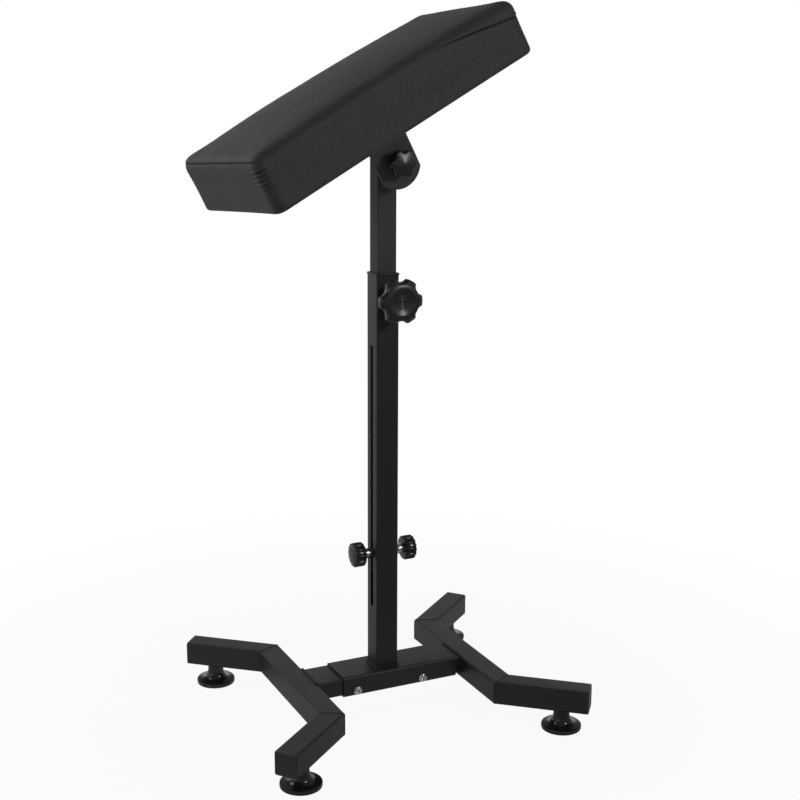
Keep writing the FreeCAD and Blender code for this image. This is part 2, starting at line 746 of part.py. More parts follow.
def make_clamp_knob(side_name, lie):
    """A bright ferrule that bears on the column, with a fluted grip on its spigot."""
    start = "tube_side / 2 + clamp_face_gap"
    bore = "clamp_bolt_radius + thread_gap"
    reach = "grip_start - (%s)" % start
    ferrule = turned(side_name + "_clamp_ferrule", [
        (bore, "0"), ("ferrule_radius - ferrule_edge", "0"), ("ferrule_radius", "ferrule_edge"),
        ("ferrule_radius", reach), ("ferrule_spigot_radius", reach),
        ("ferrule_spigot_radius", reach + " + ferrule_spigot_length"),
        (bore, reach + " + ferrule_spigot_length")])
    keep(put(ferrule, shift(z="clamp_height"), lie, shift(z=start)))
    height = "grip_length + grip_dome"
    seat = "ferrule_spigot_radius + thread_gap"
    inside = "ferrule_spigot_length + thread_gap"
    deep = "clamp_bolt_reach - grip_start + overrun"
    profile = [
        (seat, "0"), ("grip_radius - grip_edge", "0"), ("grip_radius", "grip_edge"),
        ("grip_radius", "grip_length - grip_edge"),
        ("grip_radius - grip_edge", "grip_length",
         "grip_radius / 2", "grip_length + grip_dome * %s" % BOW_SHARE),
        ("0", height), ("0", deep), (bore, deep), (bore, inside), (seat, inside)]
    shape = turned(side_name + "_grip_turning", profile)
    flutes = prism(side_name + "_grip_flutes",
                   [lobed_outline(GRIP_FLUTES, "grip_radius", "grip_flute_depth", FLUTE_LAND_SHARE)], height)
    knob = common(side_name + "_clamp_knob", shape, flutes)
    keep(put(knob, shift(z="clamp_height"), lie, shift(z="grip_start")))


make_mast()


# Tilt joint: boss on the mast, bolt, washer and hand knob
def make_tilt_joint():
    stance = (shift(z="pivot_height"), LIE_TO_FRONT)
    boss = turned("pivot_boss", [
        ("screw_radius + thread_gap", "mast_side / 2"), ("boss_radius", "mast_side / 2"),
        ("boss_radius", "ear_rear - face_gap"), ("screw_radius + thread_gap", "ear_rear - face_gap")])
    keep(put(boss, *stance))
    head = put(prism("tilt_bolt_head", [hexagon("screw_nut_across")], "tilt_bolt_head_height"),
               shift(z="-mast_side / 2 - tilt_bolt_head_height"))
    shank = rod("tilt_bolt_shank", "screw_radius", "tilt_bolt_reach + mast_side / 2",
                shift(z="-mast_side / 2"))
    bolt = doc.addObject("Part::MultiFuse", "tilt_bolt")
    bolt.Label = "tilt_bolt"
    bolt.Shapes = [head, shank]
    keep(put(bolt, *stance))
    washer = turned("tilt_washer", [
        ("screw_radius + hole_gap", "0"), ("tilt_washer_radius", "0"),
        ("tilt_washer_radius", "tilt_washer_thick"), ("screw_radius + hole_gap", "tilt_washer_thick")])
    keep(put(washer, *stance, shift(z="ear_offset + face_gap")))
    insert_end = "tilt_bolt_reach - insert_rear"
    insert = turned("tilt_knob_insert", [
        ("screw_radius + thread_gap", "0"), ("insert_radius", "0"), ("insert_radius", insert_end),
        ("screw_radius + thread_gap", insert_end)])
    keep(put(insert, *stance, shift(z="insert_rear")))
    knob = star_knob("tilt_knob", TILT_KNOB_LOBES, "tilt_knob_radius", "tilt_knob_notch_depth",
                     "tilt_knob_height", "tilt_knob_collar_radius", "tilt_knob_collar_height",
                     "tilt_knob_edge", None, None, "insert_radius + thread_gap",
                     "tilt_bolt_reach - tilt_knob_rear + overrun")
    keep(put(knob, *stance, shift(z="tilt_knob_rear")))


make_tilt_joint()


# Bracket: an ear that hangs on the tilt bolt, under a flange with curved slots for the pad's screws
def screw_angles():
    return ["pad_screw_angle", "180 - pad_screw_angle", "180 + pad_screw_angle", "-pad_screw_angle"]


def slot_outline(angle):
    outer = "pad_screw_ring_radius + pad_slot_width / 2"
    inner = "pad_screw_ring_radius - pad_slot_width / 2"
    first = "%s - pad_slot_half_angle" % angle
    last = "%s + pad_slot_half_angle" % angle
    cap_angle = "pad_slot_width / 2 / pad_screw_ring_radius * 180 / pi"
    return [polar(outer, first) + polar(outer, angle),
            polar(outer, last) + polar("pad_screw_ring_radius", "%s + %s" % (last, cap_angle)),
            polar(inner, last) + polar(inner, angle),
            polar(inner, first) + polar("pad_screw_ring_radius", "%s - %s" % (first, cap_angle))]


def make_bracket():
    made = new_body("tilt_bracket")
    ear = new_sketch(made, "XZ_Plane", "ear_rear")
    shoulder = "-sqrt(ear_round * ear_round - ear_width * ear_width / 4)"
    add_outline(ear, [
        ("-ear_width / 2", "pad_rise - plate_thick / 2"), ("-ear_width / 2", shoulder, "0", "-ear_round"),
        ("ear_width / 2", shoulder), ("ear_width / 2", "pad_rise - plate_thick / 2")])
    add_circle(ear, "0", "0", "screw_radius + hole_gap")
    pad(made, ear, "plate_thick")
    flange = new_sketch(made, "XY_Plane", "pad_rise - plate_thick")
    half_length, half_depth, corner = "flange_length / 2", "ear_offset", "flange_corner"
    rear = "flange_depth - ear_offset"
    bow = "%s * %s" % (corner, 1 - DIAGONAL_SHARE)
    add_outline(flange, [
        ("-%s + %s" % (half_length, corner), "-" + half_depth),
        ("%s - %s" % (half_length, corner), "-" + half_depth,
         "%s - %s" % (half_length, bow), "-%s + %s" % (half_depth, bow)),
        (half_length, "-%s + %s" % (half_depth, corner)),
        (half_length, "%s - %s" % (rear, corner), "%s - %s" % (half_length, bow),
         "%s - %s" % (rear, bow)),
        ("%s - %s" % (half_length, corner), rear),
        ("-%s + %s" % (half_length, corner), rear, "-%s + %s" % (half_length, bow),
         "%s - %s" % (rear, bow)),
        ("-" + half_length, "%s - %s" % (rear, corner)),
        ("-" + half_length, "-%s + %s" % (half_depth, corner), "-%s + %s" % (half_length, bow),
         "-%s + %s" % (half_depth, bow))])
    for angle in screw_angles():
        add_outline(flange, slot_outline(angle))
    pad(made, flange, "plate_thick")
    inside = V(0, -number("ear_rear"), number("pad_rise - plate_thick"))

    def in_bend(edge):
        centre = edge.CenterOfMass
        return abs(centre.y - inside.y) < SAME_PLACE and abs(centre.z - inside.z) < SAME_PLACE
    dress_edges(made, "Fillet", in_bend, Radius="bend_radius")
    keep(put(made, PIVOT_FRAME))


make_bracket()


# Pad: board, dust cover, cushion, and the screws that hold them to the bracket
def make_pad():
    length, width = "pad_length - 2 * board_margin", "pad_width - 2 * board_margin"
    spots = [polar("pad_screw_ring_radius", angle) for angle in screw_angles()]
    for label, thick, base, bore in (("pad_board", "board_thick", "dust_cover_thick", "tee_nut_radius"),
                                     ("dust_cover", "dust_cover_thick", "0", "tee_nut_radius")):
        made = new_body(label)
        drawing = new_sketch(made, "XY_Plane")
        add_outline(drawing, rectangle(length, width))
        for x, y in spots:
            add_circle(drawing, x, y, bore + " + thread_gap")
        pad(made, drawing, thick)
        keep(put(made, PAD_FRAME, shift(z=base)))
    screws, washers, tee_nuts = [], [], []
    for place, (x, y) in enumerate(spots, 1):
        stance = (PAD_FRAME, shift(x, y, "-plate_thick"))
        washer = turned("pad_washer_%d" % place, [
            ("pad_screw_radius + thread_gap", "-pad_washer_thick"), ("pad_washer_radius", "-pad_washer_thick"),
            ("pad_washer_radius", "0"), ("pad_screw_radius + thread_gap", "0")])
        washers.append(put(washer, *stance))
        head = put(prism("pad_screw_head_%d" % place, [hexagon("pad_screw_head_across")],
                         "pad_screw_head_height"), shift(z="-pad_washer_thick - pad_screw_head_height"))
        shank = rod("pad_screw_shank_%d" % place, "pad_screw_radius", "pad_screw_length + pad_washer_thick",
                    shift(z="-pad_washer_thick"))
        screw = doc.addObject("Part::MultiFuse", "pad_screw_%d" % place)
        screw.Shapes = [head, shank]
        screws.append(put(screw, *stance))
        rim = "board_top + tee_nut_flange_thick"
        tee_nut = turned("tee_nut_%d" % place, [
            ("pad_screw_radius + thread_gap", "board_top - tee_nut_length"),
            ("tee_nut_radius", "board_top - tee_nut_length"), ("tee_nut_radius", "board_top"),
            ("tee_nut_flange_radius", "board_top"), ("tee_nut_flange_radius", rim),
            ("pad_screw_radius + thread_gap", rim)])
        tee_nuts.append(put(tee_nut, PAD_FRAME, shift(x, y)))
    for label, pieces in (("pad_screws", screws), ("pad_washers", washers), ("tee_nuts", tee_nuts)):
        keep(together(label, pieces))


def cushion_section(along, half_width, side_height, crown, corner):
    """One closed section of the cushion across its length, of lines and arcs."""
    bow = corner * (1 - DIAGONAL_SHARE)
    tuck = number("pad_draw_in") / 2
    shoulder = side_height - corner
    foot = V(along, half_width, 0)
    waist = V(along, half_width - tuck, shoulder / 2)
    edge = V(along, half_width, shoulder)
    bend = V(along, half_width - bow, side_height - bow)
    brow = V(along, half_width - corner, side_height)

    def mirrored(point):
        return V(point.x, -point.y, point.z)
    arcs = [Part.Arc(foot, waist, edge), Part.Arc(edge, bend, brow),
            Part.Arc(brow, V(along, 0, side_height + crown), mirrored(brow)),
            Part.Arc(mirrored(brow), mirrored(bend), mirrored(edge)),
            Part.Arc(mirrored(edge), mirrored(waist), mirrored(foot))]
    return Part.Wire([arc.toShape() for arc in arcs] + [Part.LineSegment(mirrored(foot), foot).toShape()])


def make_cushion():
    """The upholstered block: arched and crowned on top, its long sides drawn in between the corners."""
    half = number("pad_length / 2")
    end_round = number("pad_end_round")
    stations = []
    for share in END_ROUND_SHARES:
        fall = 1 - (1 - (1 - share) ** 2) ** 0.5
        stations.append((half - share * end_round, fall * end_round))
    for share in MIDDLE_SHARES:
        stations.append((share * half, 0))
    stations += [(-along, inset) for along, inset in reversed(stations[:-1])]
    sections = []
    for along, inset in stations:
        swell = 1 - abs(along / half) ** CROWN_POWER
        half_width = number("pad_width / 2") - number("pad_draw_in") * swell - inset * END_WIDTH_SHARE
        crown = number("pad_crown") * swell + inset * END_CROWN_SHARE
        height = number("pad_side_height") + number("pad_arch") * swell - inset
        sections.append(cushion_section(along, half_width, height, crown, number("pad_top_round")))
    form = Part.makeLoft(sections, True, True)
    slack = number("soft_gap")
    recess_length = number("pad_length - 2 * board_margin") + 2 * slack
    recess_width = number("pad_width - 2 * board_margin") + 2 * slack
    recess_height = number("board_top + tee_nut_flange_thick") + slack
    below = number("overrun")
    recess = Part.makeBox(recess_length, recess_width, recess_height + below,
                          V(-recess_length / 2, -recess_width / 2, -below))
    made = doc.addObject("Part::Feature", "pad_cushion")
    made.Label = "pad_cushion"
    made.Shape = form.cut(recess)
    keep(put(made, PAD_FRAME))


make_pad()
make_cushion()
doc.recompute()

for thing in doc.Objects:
    faults = {"Invalid", "Error"} & set(thing.State)
    if faults:
        raise RuntimeError("%s is %s" % (thing.Label, ", ".join(sorted(faults))))
for thing in kept:
    if thing.Shape.isNull() or not thing.Shape.isValid():
        raise RuntimeError(thing.Label + " has no valid shape")
os.makedirs("parts", exist_ok=True)
for thing in kept:
    thing.Shape.exportStep("parts/%s.step" % thing.Label)
    print("%-24s %d solid(s) %10.1f mm3" % (thing.Label, len(thing.Shape.Solids), thing.Shape.Volume))
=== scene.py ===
"""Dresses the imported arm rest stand: painted steel, plastic fittings, plated hardware and a
leatherette pad, on a white studio floor.

Shapes are drawn in millimetres and placed in metres. The origin is on the floor under the column,
-Y is the side with the height knob, and the pad's own frame has its origin in the middle of the
board's underside with +X towards its raised end.
"""
import json
import math

import bmesh
import bpy
from bpy.props import FloatProperty, FloatVectorProperty, IntProperty, PointerProperty
from mathutils import Matrix, Vector, noise


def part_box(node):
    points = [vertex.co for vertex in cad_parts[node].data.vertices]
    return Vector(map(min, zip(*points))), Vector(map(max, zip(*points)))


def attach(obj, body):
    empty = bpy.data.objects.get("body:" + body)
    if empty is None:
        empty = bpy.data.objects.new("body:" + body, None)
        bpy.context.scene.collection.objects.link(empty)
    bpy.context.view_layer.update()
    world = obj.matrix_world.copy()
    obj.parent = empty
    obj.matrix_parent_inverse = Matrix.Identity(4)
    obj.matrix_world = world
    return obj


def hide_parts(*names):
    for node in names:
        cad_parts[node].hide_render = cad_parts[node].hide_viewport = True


bl_info = {
    "name": "Arm Rest Stand",
    "version": (1, 0, 0),
    "blender": (4, 5, 0),
    "location": "3D View > Sidebar > Arm Rest",
    "description": "Dresses a tilting arm rest stand in paint, plastic, plating and leatherette",
    "category": "Object",
}

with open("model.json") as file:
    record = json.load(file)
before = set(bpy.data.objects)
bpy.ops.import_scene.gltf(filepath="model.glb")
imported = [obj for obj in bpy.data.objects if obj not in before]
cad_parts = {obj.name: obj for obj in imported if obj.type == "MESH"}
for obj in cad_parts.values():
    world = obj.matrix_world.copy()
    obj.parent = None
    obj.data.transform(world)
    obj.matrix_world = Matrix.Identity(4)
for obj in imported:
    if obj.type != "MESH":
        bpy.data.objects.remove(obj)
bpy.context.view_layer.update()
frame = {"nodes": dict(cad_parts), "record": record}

MM = 0.001
MILLIMETRES = Matrix.Scale(MM, 4)
FULL_TURN = 2 * math.pi
QUARTER_TURN = math.pi / 2
UP = Vector((0, 0, 1))
# Sets this script's materials apart from the plain ones that the frame brings under its slots' names
LOOK_PREFIX = "look_"
# Points closer than this, in metres, are one: in this script's meshes, and in the CAD's triangles
DOUBLES_WITHIN = 1e-7
CAD_DOUBLES_WITHIN = 4e-6
# A length in millimetres that counts as nothing
NEAR = 1e-6

# Where the stand's pieces are, in millimetres, as the CAD has them
LEG_MIDDLE_HEIGHT = 42.2
TUBE_SIDE = 30
TUBE_CORNER = 2.5
LEG_SPREAD = 117.5
LEG_HALF_SPAN = 107
ARM_ANGLE = 40
FOOT_TO_ARM_END = 32.6
SLEEVE_TOP = 58.6
STUB_REACH = 102.5
STUB_HEIGHT = 45.35
STUB_SIZE = (22.1, 50.6)
STUB_CORNER = 1.5
POST_SIDE = 25
BOSS_RADIUS = 12
PIVOT_HEIGHT = 703
PAD_RISE = 40
PAD_TILT = 27.3
PAD_TURN = 7.3
PAD_HALF_LENGTH = 195.5
PAD_HALF_WIDTH = 99
PAD_HEIGHT = 68
BOARD_MARGIN = 6
RECESS_GAP = 0.3
RECESS_HEIGHT = 14.3
PAD_SCREW_RING = 42
PAD_SCREW_ANGLES = (30, 150, 210, 330)
FLANGE_THICK = 4

PIVOT_FRAME = Matrix.Translation((0, 0, PIVOT_HEIGHT * MM)) @ Matrix.Rotation(math.radians(-PAD_TILT), 4, "Y")
PAD_FRAME = (PIVOT_FRAME @ Matrix.Translation((0, 0, PAD_RISE * MM))
             @ Matrix.Rotation(math.radians(PAD_TURN), 4, "Z"))
PAD_DOWN = (PAD_FRAME.to_3x3() @ -UP).normalized()

LEGS = {"left": -1, "right": 1}
ENDS = {"front": -1, "rear": 1}
CORNERS = [(leg, end) for leg in LEGS for end in ENDS]

# Radii, sizes over flats and heights of the hardware, in millimetres
FOOT_STUD_RADIUS = 4
HEIGHT_SCREW_RADIUS = 5
HEIGHT_NUT_BORE = 5.05
SLEEVE_BOLT_RADIUS = 6
SLEEVE_BOLT_HEAD = 3.4
TILT_BOLT_ACROSS = 17
TILT_BOLT_HEAD = 6.5
TILT_BOLT_RADIUS = 5
TILT_BOLT_TIP = 4.2
PAD_SCREW_ACROSS = 10
PAD_SCREW_HEAD = 4
# A hexagon's turned end face, as a share of its size over flats
CHAMFER_SHARE = 0.94

# Weld beads: their radii as shares of the weld's leg or in millimetres, the share of a mitre bead's
# radius by which it is sunk, how deep its ripples are, and the length of a bead's segments
COLUMN_BEAD_SHARE = 0.86
STUB_BEAD_SHARE = 0.8
NUT_BEAD = 1.3
BOSS_BEAD = 1.5
MITRE_SUNK_SHARE = 0.45
MITRE_RIPPLE_SHARE = 0.05
BEAD_STEP = 0.45

# Rings of an end cap: half its width, corner radius and height from the tube's end
END_CAP_RINGS = ((13.3, 1.2, -10), (13.3, 1.2, 0), (15, 2.5, 0), (15, 2.5, 1.7), (14.65, 2.5, 2.4),
                 (13.8, 2.2, 2.9), (13, 1.9, 3), (11.8, 1.6, 3), (11.3, 1.4, 2.85), (11, 1.3, 2.5),
                 (7, 1, 2.45))

# Turned outlines, in millimetres: radius, then height along the piece's own axis
FOOT_UNDERSIDE = ((0, 1.2), (19.5, 1.2), (20.5, 0), (24, 0), (24.9, 0.35), (25.2, 1.2), (25.2, 4.7),
                  (24.9, 5.5), (24, 5.9))
FOOT_SWEEP = ((24, 5.9), (13.5, 6.4), (10.4, 10), (10, 23))
FOOT_NECK = ((10, 26.2), (9.5, 26.9), (8.8, 27), (4.4, 27), (4.4, 25.5), (0, 25.5))
SLEEVE_BOLT_SHANK = ((0, -14), (2.2, -14), (2.5, -13.6), (2.5, 0))
SLEEVE_BOLT_DOME = ((5.7, 0), (6, 0.4), (5.9, 1.2), (5.4, 2.1), (4.6, 2.85), (3.6, 3.3), (2.75, 3.4))
SLEEVE_BOLT_SOCKET = ((2, 3.25), (2, 1.4), (0, 1.2))
STAR_HUB = ((5.2, 0), (10.1, 0), (10.8, 0.3), (11, 1), (11, 16.8), (11.5, 18.3), (12.8, 19))
STAR_RIM = ((24, 19), (26.8, 19.2), (27.7, 19.8), (28, 20.8), (28, 26.2), (27.8, 26.9), (27.2, 27.6),
            (25.5, 28.9), (23.5, 30), (21.5, 30.9), (19.5, 31.55), (17.6, 31.92))
TILT_KNOB_OUTLINE = ((7.6, 0), (9.2, 0), (9.8, 0.3), (10, 0.9), (10, 4.2), (10.6, 4.9), (13.2, 5),
                     (15.6, 5.3), (16.3, 5.9), (16.5, 6.8), (16.5, 16), (16.4, 16.5), (16, 16.9),
                     (15.2, 17.25), (14, 17.55), (12, 17.95), (9.5, 18.45), (7, 18.95), (5, 19.35),
                     (3, 19.7), (1.5, 19.85), (0, 19.9))
GRIP_OUTLINE = ((5.1, 0), (13.6, 0), (14.9, 0.4), (15.5, 1.5), (15.5, 12.4), (15, 13.5), (14, 14),
                (13.3, 13.9), (13, 13.6), (12.7, 14), (12, 14.4), (9.5, 15.2), (6, 15.8), (3, 16), (0, 16.05))
FERRULE_OUTLINE = ((3.05, 0), (5.8, 0), (6.3, 0.2), (6.5, 0.7), (6.5, 9.3), (6.1, 9.6), (6.1, 10.2),
                   (6.5, 10.5), (6.5, 12.5), (6.2, 12.8), (5, 12.8), (5, 20.8), (3.05, 20.8))
BOSS_OUTLINE = ((5.05, 12.5), (12, 12.5), (12, 33), (11.2, 33.8), (5.05, 33.8))
WASHER_OUTLINE = ((5.3, 0), (10.6, 0), (11, 0.3), (11, 1.6), (10.5, 2), (5.6, 2), (5.3, 1.7))
PAD_WASHER_OUTLINE = ((3.05, 0), (7.8, 0), (8, 0.2), (8, 1), (7.8, 1.2), (3.05, 1.2))
PAD_SCREW_SHANK = ((0, -15), (2.7, -15), (3, -14.6), (3, 1.2), (0, 1.2))
BRASS_OUTLINE = ((5.05, 0), (7.2, 0), (7.5, 0.3), (7.5, 15.6), (5.05, 15.6))
# A stitch: radius in millimetres, then place along it as a share of half its length
STITCH_SHAPE = ((0, -1), (0.22, -0.86), (0.3, -0.4), (0.3, 0.4), (0.22, 0.86), (0, 1))
# A staple's corners seen from its side
STAPLE_CORNERS = ((-5, -1.2), (-5, 0.1), (-4.4, 0.42), (4.4, 0.42), (5, 0.1), (5, -1.2))
# Half the length of a staple's crown, and radii of its flattened wire there and across its legs
STAPLE_CROWN = 4.6
STAPLE_WIRE = 0.35
STAPLE_LEG = 0.3
# The row of staples: how far in from the cloth's edge, its corner radius and its level
STAPLE_INSET = 4
STAPLE_CORNER = 9
STAPLE_LEVEL = 0.02
# The dust cloth: how far it laps the folded cover, its mesh's columns and rows, its height and its slack
CLOTH_LAP = 4
CLOTH_GRID = (56, 26)
CLOTH_HEIGHT = 0.14
CLOTH_SLACK = 0.09
CLOTH_SLACK_WIDTH = 38

# Knob rims: radius, share of the rim that is lobe, and radius inside which the knob stays round
STAR_SCALLOPS = (28, 0.46, 22)
TILT_SCALLOPS = (16.5, 0.35, 12.5)
GRIP_SCALLOPS = (15.5, 0.4, 13.4)
# The height knob's face: its crest's radius and height, the bowl's depth and the ringed part's radius
STAR_CREST = 16
STAR_HEIGHT = 32
STAR_BOWL = 3
STAR_RINGED = 10.5
STAR_FACE_STEPS = 56

# The cushion's seam, in millimetres: place along the pad, then height above the board's underside
SEAM_LINE = ((-200, 62.6), (30, 62), (70, 60.3), (93, 57.8), (129, 53.4), (160, 49.2), (200, 44.4))
SEAM_GROOVE_WIDTH = 1
# Sideways turn of the cover's normal, and places along the pad, between which the seam comes to show
SEAM_ON_SIDE = (0.35, 0.8)
SEAM_SHOWN_FROM = (60, 110)
# How far the thread stands out of the seam
THREAD_LIFT = 0.15
# Radius at which the cover turns under the pad
TUCK_ROUND = 5
# The cover folded under the board: where it is flat beyond its turn, how far it rises to its cut edge,
# and the height of that edge's upper side
HEM_START = 0.8
HEM_LIFT = 0.3
HEM_EDGE = 0.75
# How far the waist of the long sides and of the ends is drawn in, as shares of the draw-in
SIDE_WAIST_SHARE = 0.5
END_WAIST_SHARE = 0.4
# The cover's lattice: rows on a rounded edge, and where its finer rows start and their spacing
EDGE_TURNS = 4
FINE_FROM = 26
FINE_STEP = 2.4
# Height from which the long sides' tops rise with the arch
ARCH_FROM = 20
# How strongly the cover is gathered at each corner, by whether it is at the raised end and at the rear
CORNER_GATHERS = {(False, False): 1, (False, True): 0.15, (True, False): 0.12, (True, True): 0.7}
# The folds at a corner: heights between which they start and end, how fast they fade away from the
# corner, how they droop, and how far and over what widths they waver
FOLDS_FROM = (24, 36)
FOLDS_UP_TO = (52, 58)
FOLD_FADE = 1.6
FOLD_DROOP = 0.09
FOLD_WAVER = 2
FOLD_WAVER_WIDTHS = (90, 21, 33)
# The bunched cover above the seam at a corner: its place in from the pad's end and side, its height and
# reach, the middle and width of its band above the seam, and its lobes
PUCKER_PLACE = (9, 12)
PUCKER_HEIGHT = 1.1
PUCKER_REACH = 15
PUCKER_MIDDLE = 6
PUCKER_WIDTH = 5
PUCKER_LOBES = 9
PUCKER_LOBE_SHARE = 0.45
# The welt above the seam
WELT_MIDDLE = 3.4
WELT_WIDTH = 2.5
# The cover's unevenness: width, height and where its noise is read
UNEVENNESS = ((46, 0.45, (0, 0, 0)), (17, 0.12, (9, 4, 2)))
# The stuffing's simulation: the start's size, the cloth's values, and how its bottom is held
SHRUNK_START = Matrix.Diagonal((0.995, 0.99, 0.985, 1))
STUFFING = {"quality": 6, "mass": 0.3, "tension_stiffness": 18, "compression_stiffness": 18,
            "shear_stiffness": 8, "bending_stiffness": 0.8, "use_pressure": True}
STUFFING_STEPS = 20
HELD_UP_TO = (4, 26)
LEAST_HOLD = 0.05
BOTTOM_HELD = 0.5


def distance(label, note, value):
    """A length property, with its default given in millimetres."""
    return FloatProperty(name=label, description=note, default=value * MM, min=0, precision=5,
                         subtype="DISTANCE", unit="LENGTH")


def share(label, note, value):
    return FloatProperty(name=label, description=note, default=value, min=0, max=1, subtype="FACTOR")


def amount(label, note, value):
    return FloatProperty(name=label, description=note, default=value, min=0)


def whole(label, note, value, least=0):
    return IntProperty(name=label, description=note, default=value, min=least)


def colour(label, note, value):
    return FloatVectorProperty(name=label, description=note, default=value, size=3, min=0, max=1,
                               subtype="COLOR")


class ArmRestPaint(bpy.types.PropertyGroup):
    """Colours and textures of the finishes."""
    coat: colour("Powder Coat", "Colour of the coated steel", (0.012, 0.012, 0.0125))
    # The post's colour is lighter than the tubes' coat, though both wear the same black powder coat: the lift
    # is painted light on the post and the bracket.
    mast: colour("Post Coat", "Colour of the sliding post's coat", (0.06, 0.06, 0.062))
    coat_roughness: share("Coat Roughness", "How matte the powder coat is", 0.46)
    peel_size: distance("Peel Size", "Width of one dimple in the powder coat", 1.4)
    peel_depth: distance("Peel Depth", "Depth of the powder coat's dimples", 0.03)
    plating: colour("Plating", "Colour of the zinc and chrome plating", (0.62, 0.62, 0.63))
    moulding: colour("Moulded Plastic", "Colour of the knobs and caps", (0.022, 0.022, 0.023))
    gloss: colour("Glossy Plastic", "Colour of the feet and side grips", (0.012, 0.012, 0.013))
    brass: colour("Brass", "Colour of the tilt knob's insert", (0.72, 0.52, 0.22))
    leather: colour("Leatherette", "Colour of the pad's cover", (0.037, 0.037, 0.039))
    leather_grain: distance("Leather Grain", "Width of one pebble of the leatherette", 1.9)
    leather_depth: distance("Grain Depth", "Height of the leatherette's pebbles", 0.2)
    thread: colour("Thread", "Colour of the stitching", (0.03, 0.03, 0.032))
    wood: colour("Plywood", "Colour of the pad's board", (0.55, 0.38, 0.21))
    cloth: colour("Dust Cloth", "Colour of the cloth under the pad", (0.018, 0.018, 0.019))


class ArmRestPad(bpy.types.PropertyGroup):
    """Sizes of the upholstery."""
    corner_round: distance("Corner Round", "Radius of the pad's upper edges and corners", 14)
    arch: distance("Arch", "How far the long top edges rise between their ends", 4)
    crown: distance("Crown", "How far the middle of the top stands above its long edges", 5)
    draw_in: distance("Draw In", "How far the long sides pull in between the corners", 2)
    grid: distance("Grid", "Spacing of the cover's mesh before it is subdivided", 6)
    swell: distance("Swell", "Most that the stuffing may push the cover out", 6)
    looseness: share("Looseness", "Share of the stuffing's push that shows in the cover", 0.08)
    pressure: amount("Pressure", "Push of the stuffing in the cloth simulation", 4)
    welt_rise: distance("Welt Rise", "Height of the rolled band above the seam", 0.6)
    seam_depth: distance("Seam Depth", "Depth of the seam's groove", 0.6)
    gather_depth: distance("Gather Depth", "Depth of the folds at the pad's corners", 1.5)
    gather_pitch: distance("Gather Pitch", "Spacing of the folds at the pad's corners", 5.2)
    gather_reach: distance("Gather Reach", "How far the folds run from a corner", 34)
    stitch_pitch: distance("Stitch Pitch", "Spacing of the stitches", 4.2)
    stitch_length: distance("Stitch Length", "Length of one stitch", 3)
    turn_under: distance("Turn Under", "How far the cover is folded under the board", 20)
    staple_pitch: distance("Staple Pitch", "Spacing of the staples", 26)


class ArmRestKnobs(bpy.types.PropertyGroup):
    """Sizes of the hand knobs' grips."""
    star_notch: distance("Star Notch", "Depth between the height knob's lobes", 4.6)
    star_lobes: whole("Star Lobes", "Lobes of the height and tilt knobs", 6, 3)
    star_groove: distance("Star Groove", "Depth of the rings in the height knob's dish", 0.3)
    star_groove_pitch: distance("Star Groove Pitch", "Spacing of the rings in the dish", 2.5)
    tilt_notch: distance("Tilt Notch", "Depth between the tilt knob's lobes", 2.6)
    flute_depth: distance("Flute Depth", "Depth of the side grips' flutes", 1.6)
    flutes: whole("Flutes", "Flutes round a side grip", 14, 3)


class ArmRestHardware(bpy.types.PropertyGroup):
    """Sizes of the screws and welds."""
    height_pitch: distance("Height Screw Pitch", "Pitch of the height screw's thread", 1.5)
    foot_pitch: distance("Foot Pitch", "Pitch of the feet's threads", 1.25)
    weld_leg: distance("Weld Leg", "Height of the fillet weld round the column", 3)
    ripple_pitch: distance("Ripple Pitch", "Spacing of a weld's ripples", 2.1)
    ripple_share: share("Ripple Share", "Depth of a weld's ripples against its size", 0.14)
    mitre_bead: distance("Mitre Bead", "Radius of the ground bead along a mitre", 0.75)
    seed: whole("Seed", "Seed of the screw heads' random turns", 7)


class ArmRestStage(bpy.types.PropertyGroup):
    """Sizes and strengths of the studio."""
    floor_half: FloatProperty(name="Floor", description="Half the width of the floor", default=6, min=1,
                              subtype="DISTANCE", unit="LENGTH")
    sky: amount("Sky", "Light from behind the stand", 1)
    front: amount("Front", "Light from the low panel in front", 0.32)
    shade: amount("Shade", "Light from the studio's dark parts", 0.2)
    rear_lamp: amount("Rear Lamp", "Power of the soft lamp behind", 12)
    front_lamp: amount("Front Lamp", "Power of the small lamp in front", 8)
    lens: amount("Lens", "Focal length of the camera on a 36 mm sensor", 62.215)


class ArmRestSettings(bpy.types.PropertyGroup):
    """All of the stand's settings."""
    paint: PointerProperty(type=ArmRestPaint)
    pad: PointerProperty(type=ArmRestPad)
    knobs: PointerProperty(type=ArmRestKnobs)
    hardware: PointerProperty(type=ArmRestHardware)
    stage: PointerProperty(type=ArmRestStage)


def settings():
    return bpy.context.scene.arm_rest


def in_mm(length):
    return length / MM


# Node trees
class Signal:
    """An output socket that takes part in Python arithmetic."""

    def __init__(self, graph, socket):
        self.graph = graph
        self.socket = socket

    def __add__(self, other):
        return self.graph.maths("ADD", self, other)

    def __radd__(self, other):
        return self.graph.maths("ADD", other, self)

    def __sub__(self, other):
        return self.graph.maths("SUBTRACT", self, other)

    def __rsub__(self, other):
        return self.graph.maths("SUBTRACT", other, self)

    def __mul__(self, other):
        return self.graph.maths("MULTIPLY", self, other)

    def __rmul__(self, other):
        return self.graph.maths("MULTIPLY", other, self)

    def __truediv__(self, other):
        return self.graph.maths("DIVIDE", self, other)

    def __rtruediv__(self, other):
        return self.graph.maths("DIVIDE", other, self)

    def __neg__(self):
        return self.graph.maths("MULTIPLY", self, -1)


class Outputs:
    """A node's outputs, each given as a Signal."""

    def __init__(self, graph, node):
        self.graph = graph
        self.node = node

    def __getitem__(self, key):
        return Signal(self.graph, pick(self.node.outputs, key))


def pick(sockets, key):
    """The socket in use that has a name, or the one at a place."""
    if isinstance(key, int):
        return sockets[key]
    return next((socket for socket in sockets if socket.name == key and socket.enabled), None) or sockets[key]


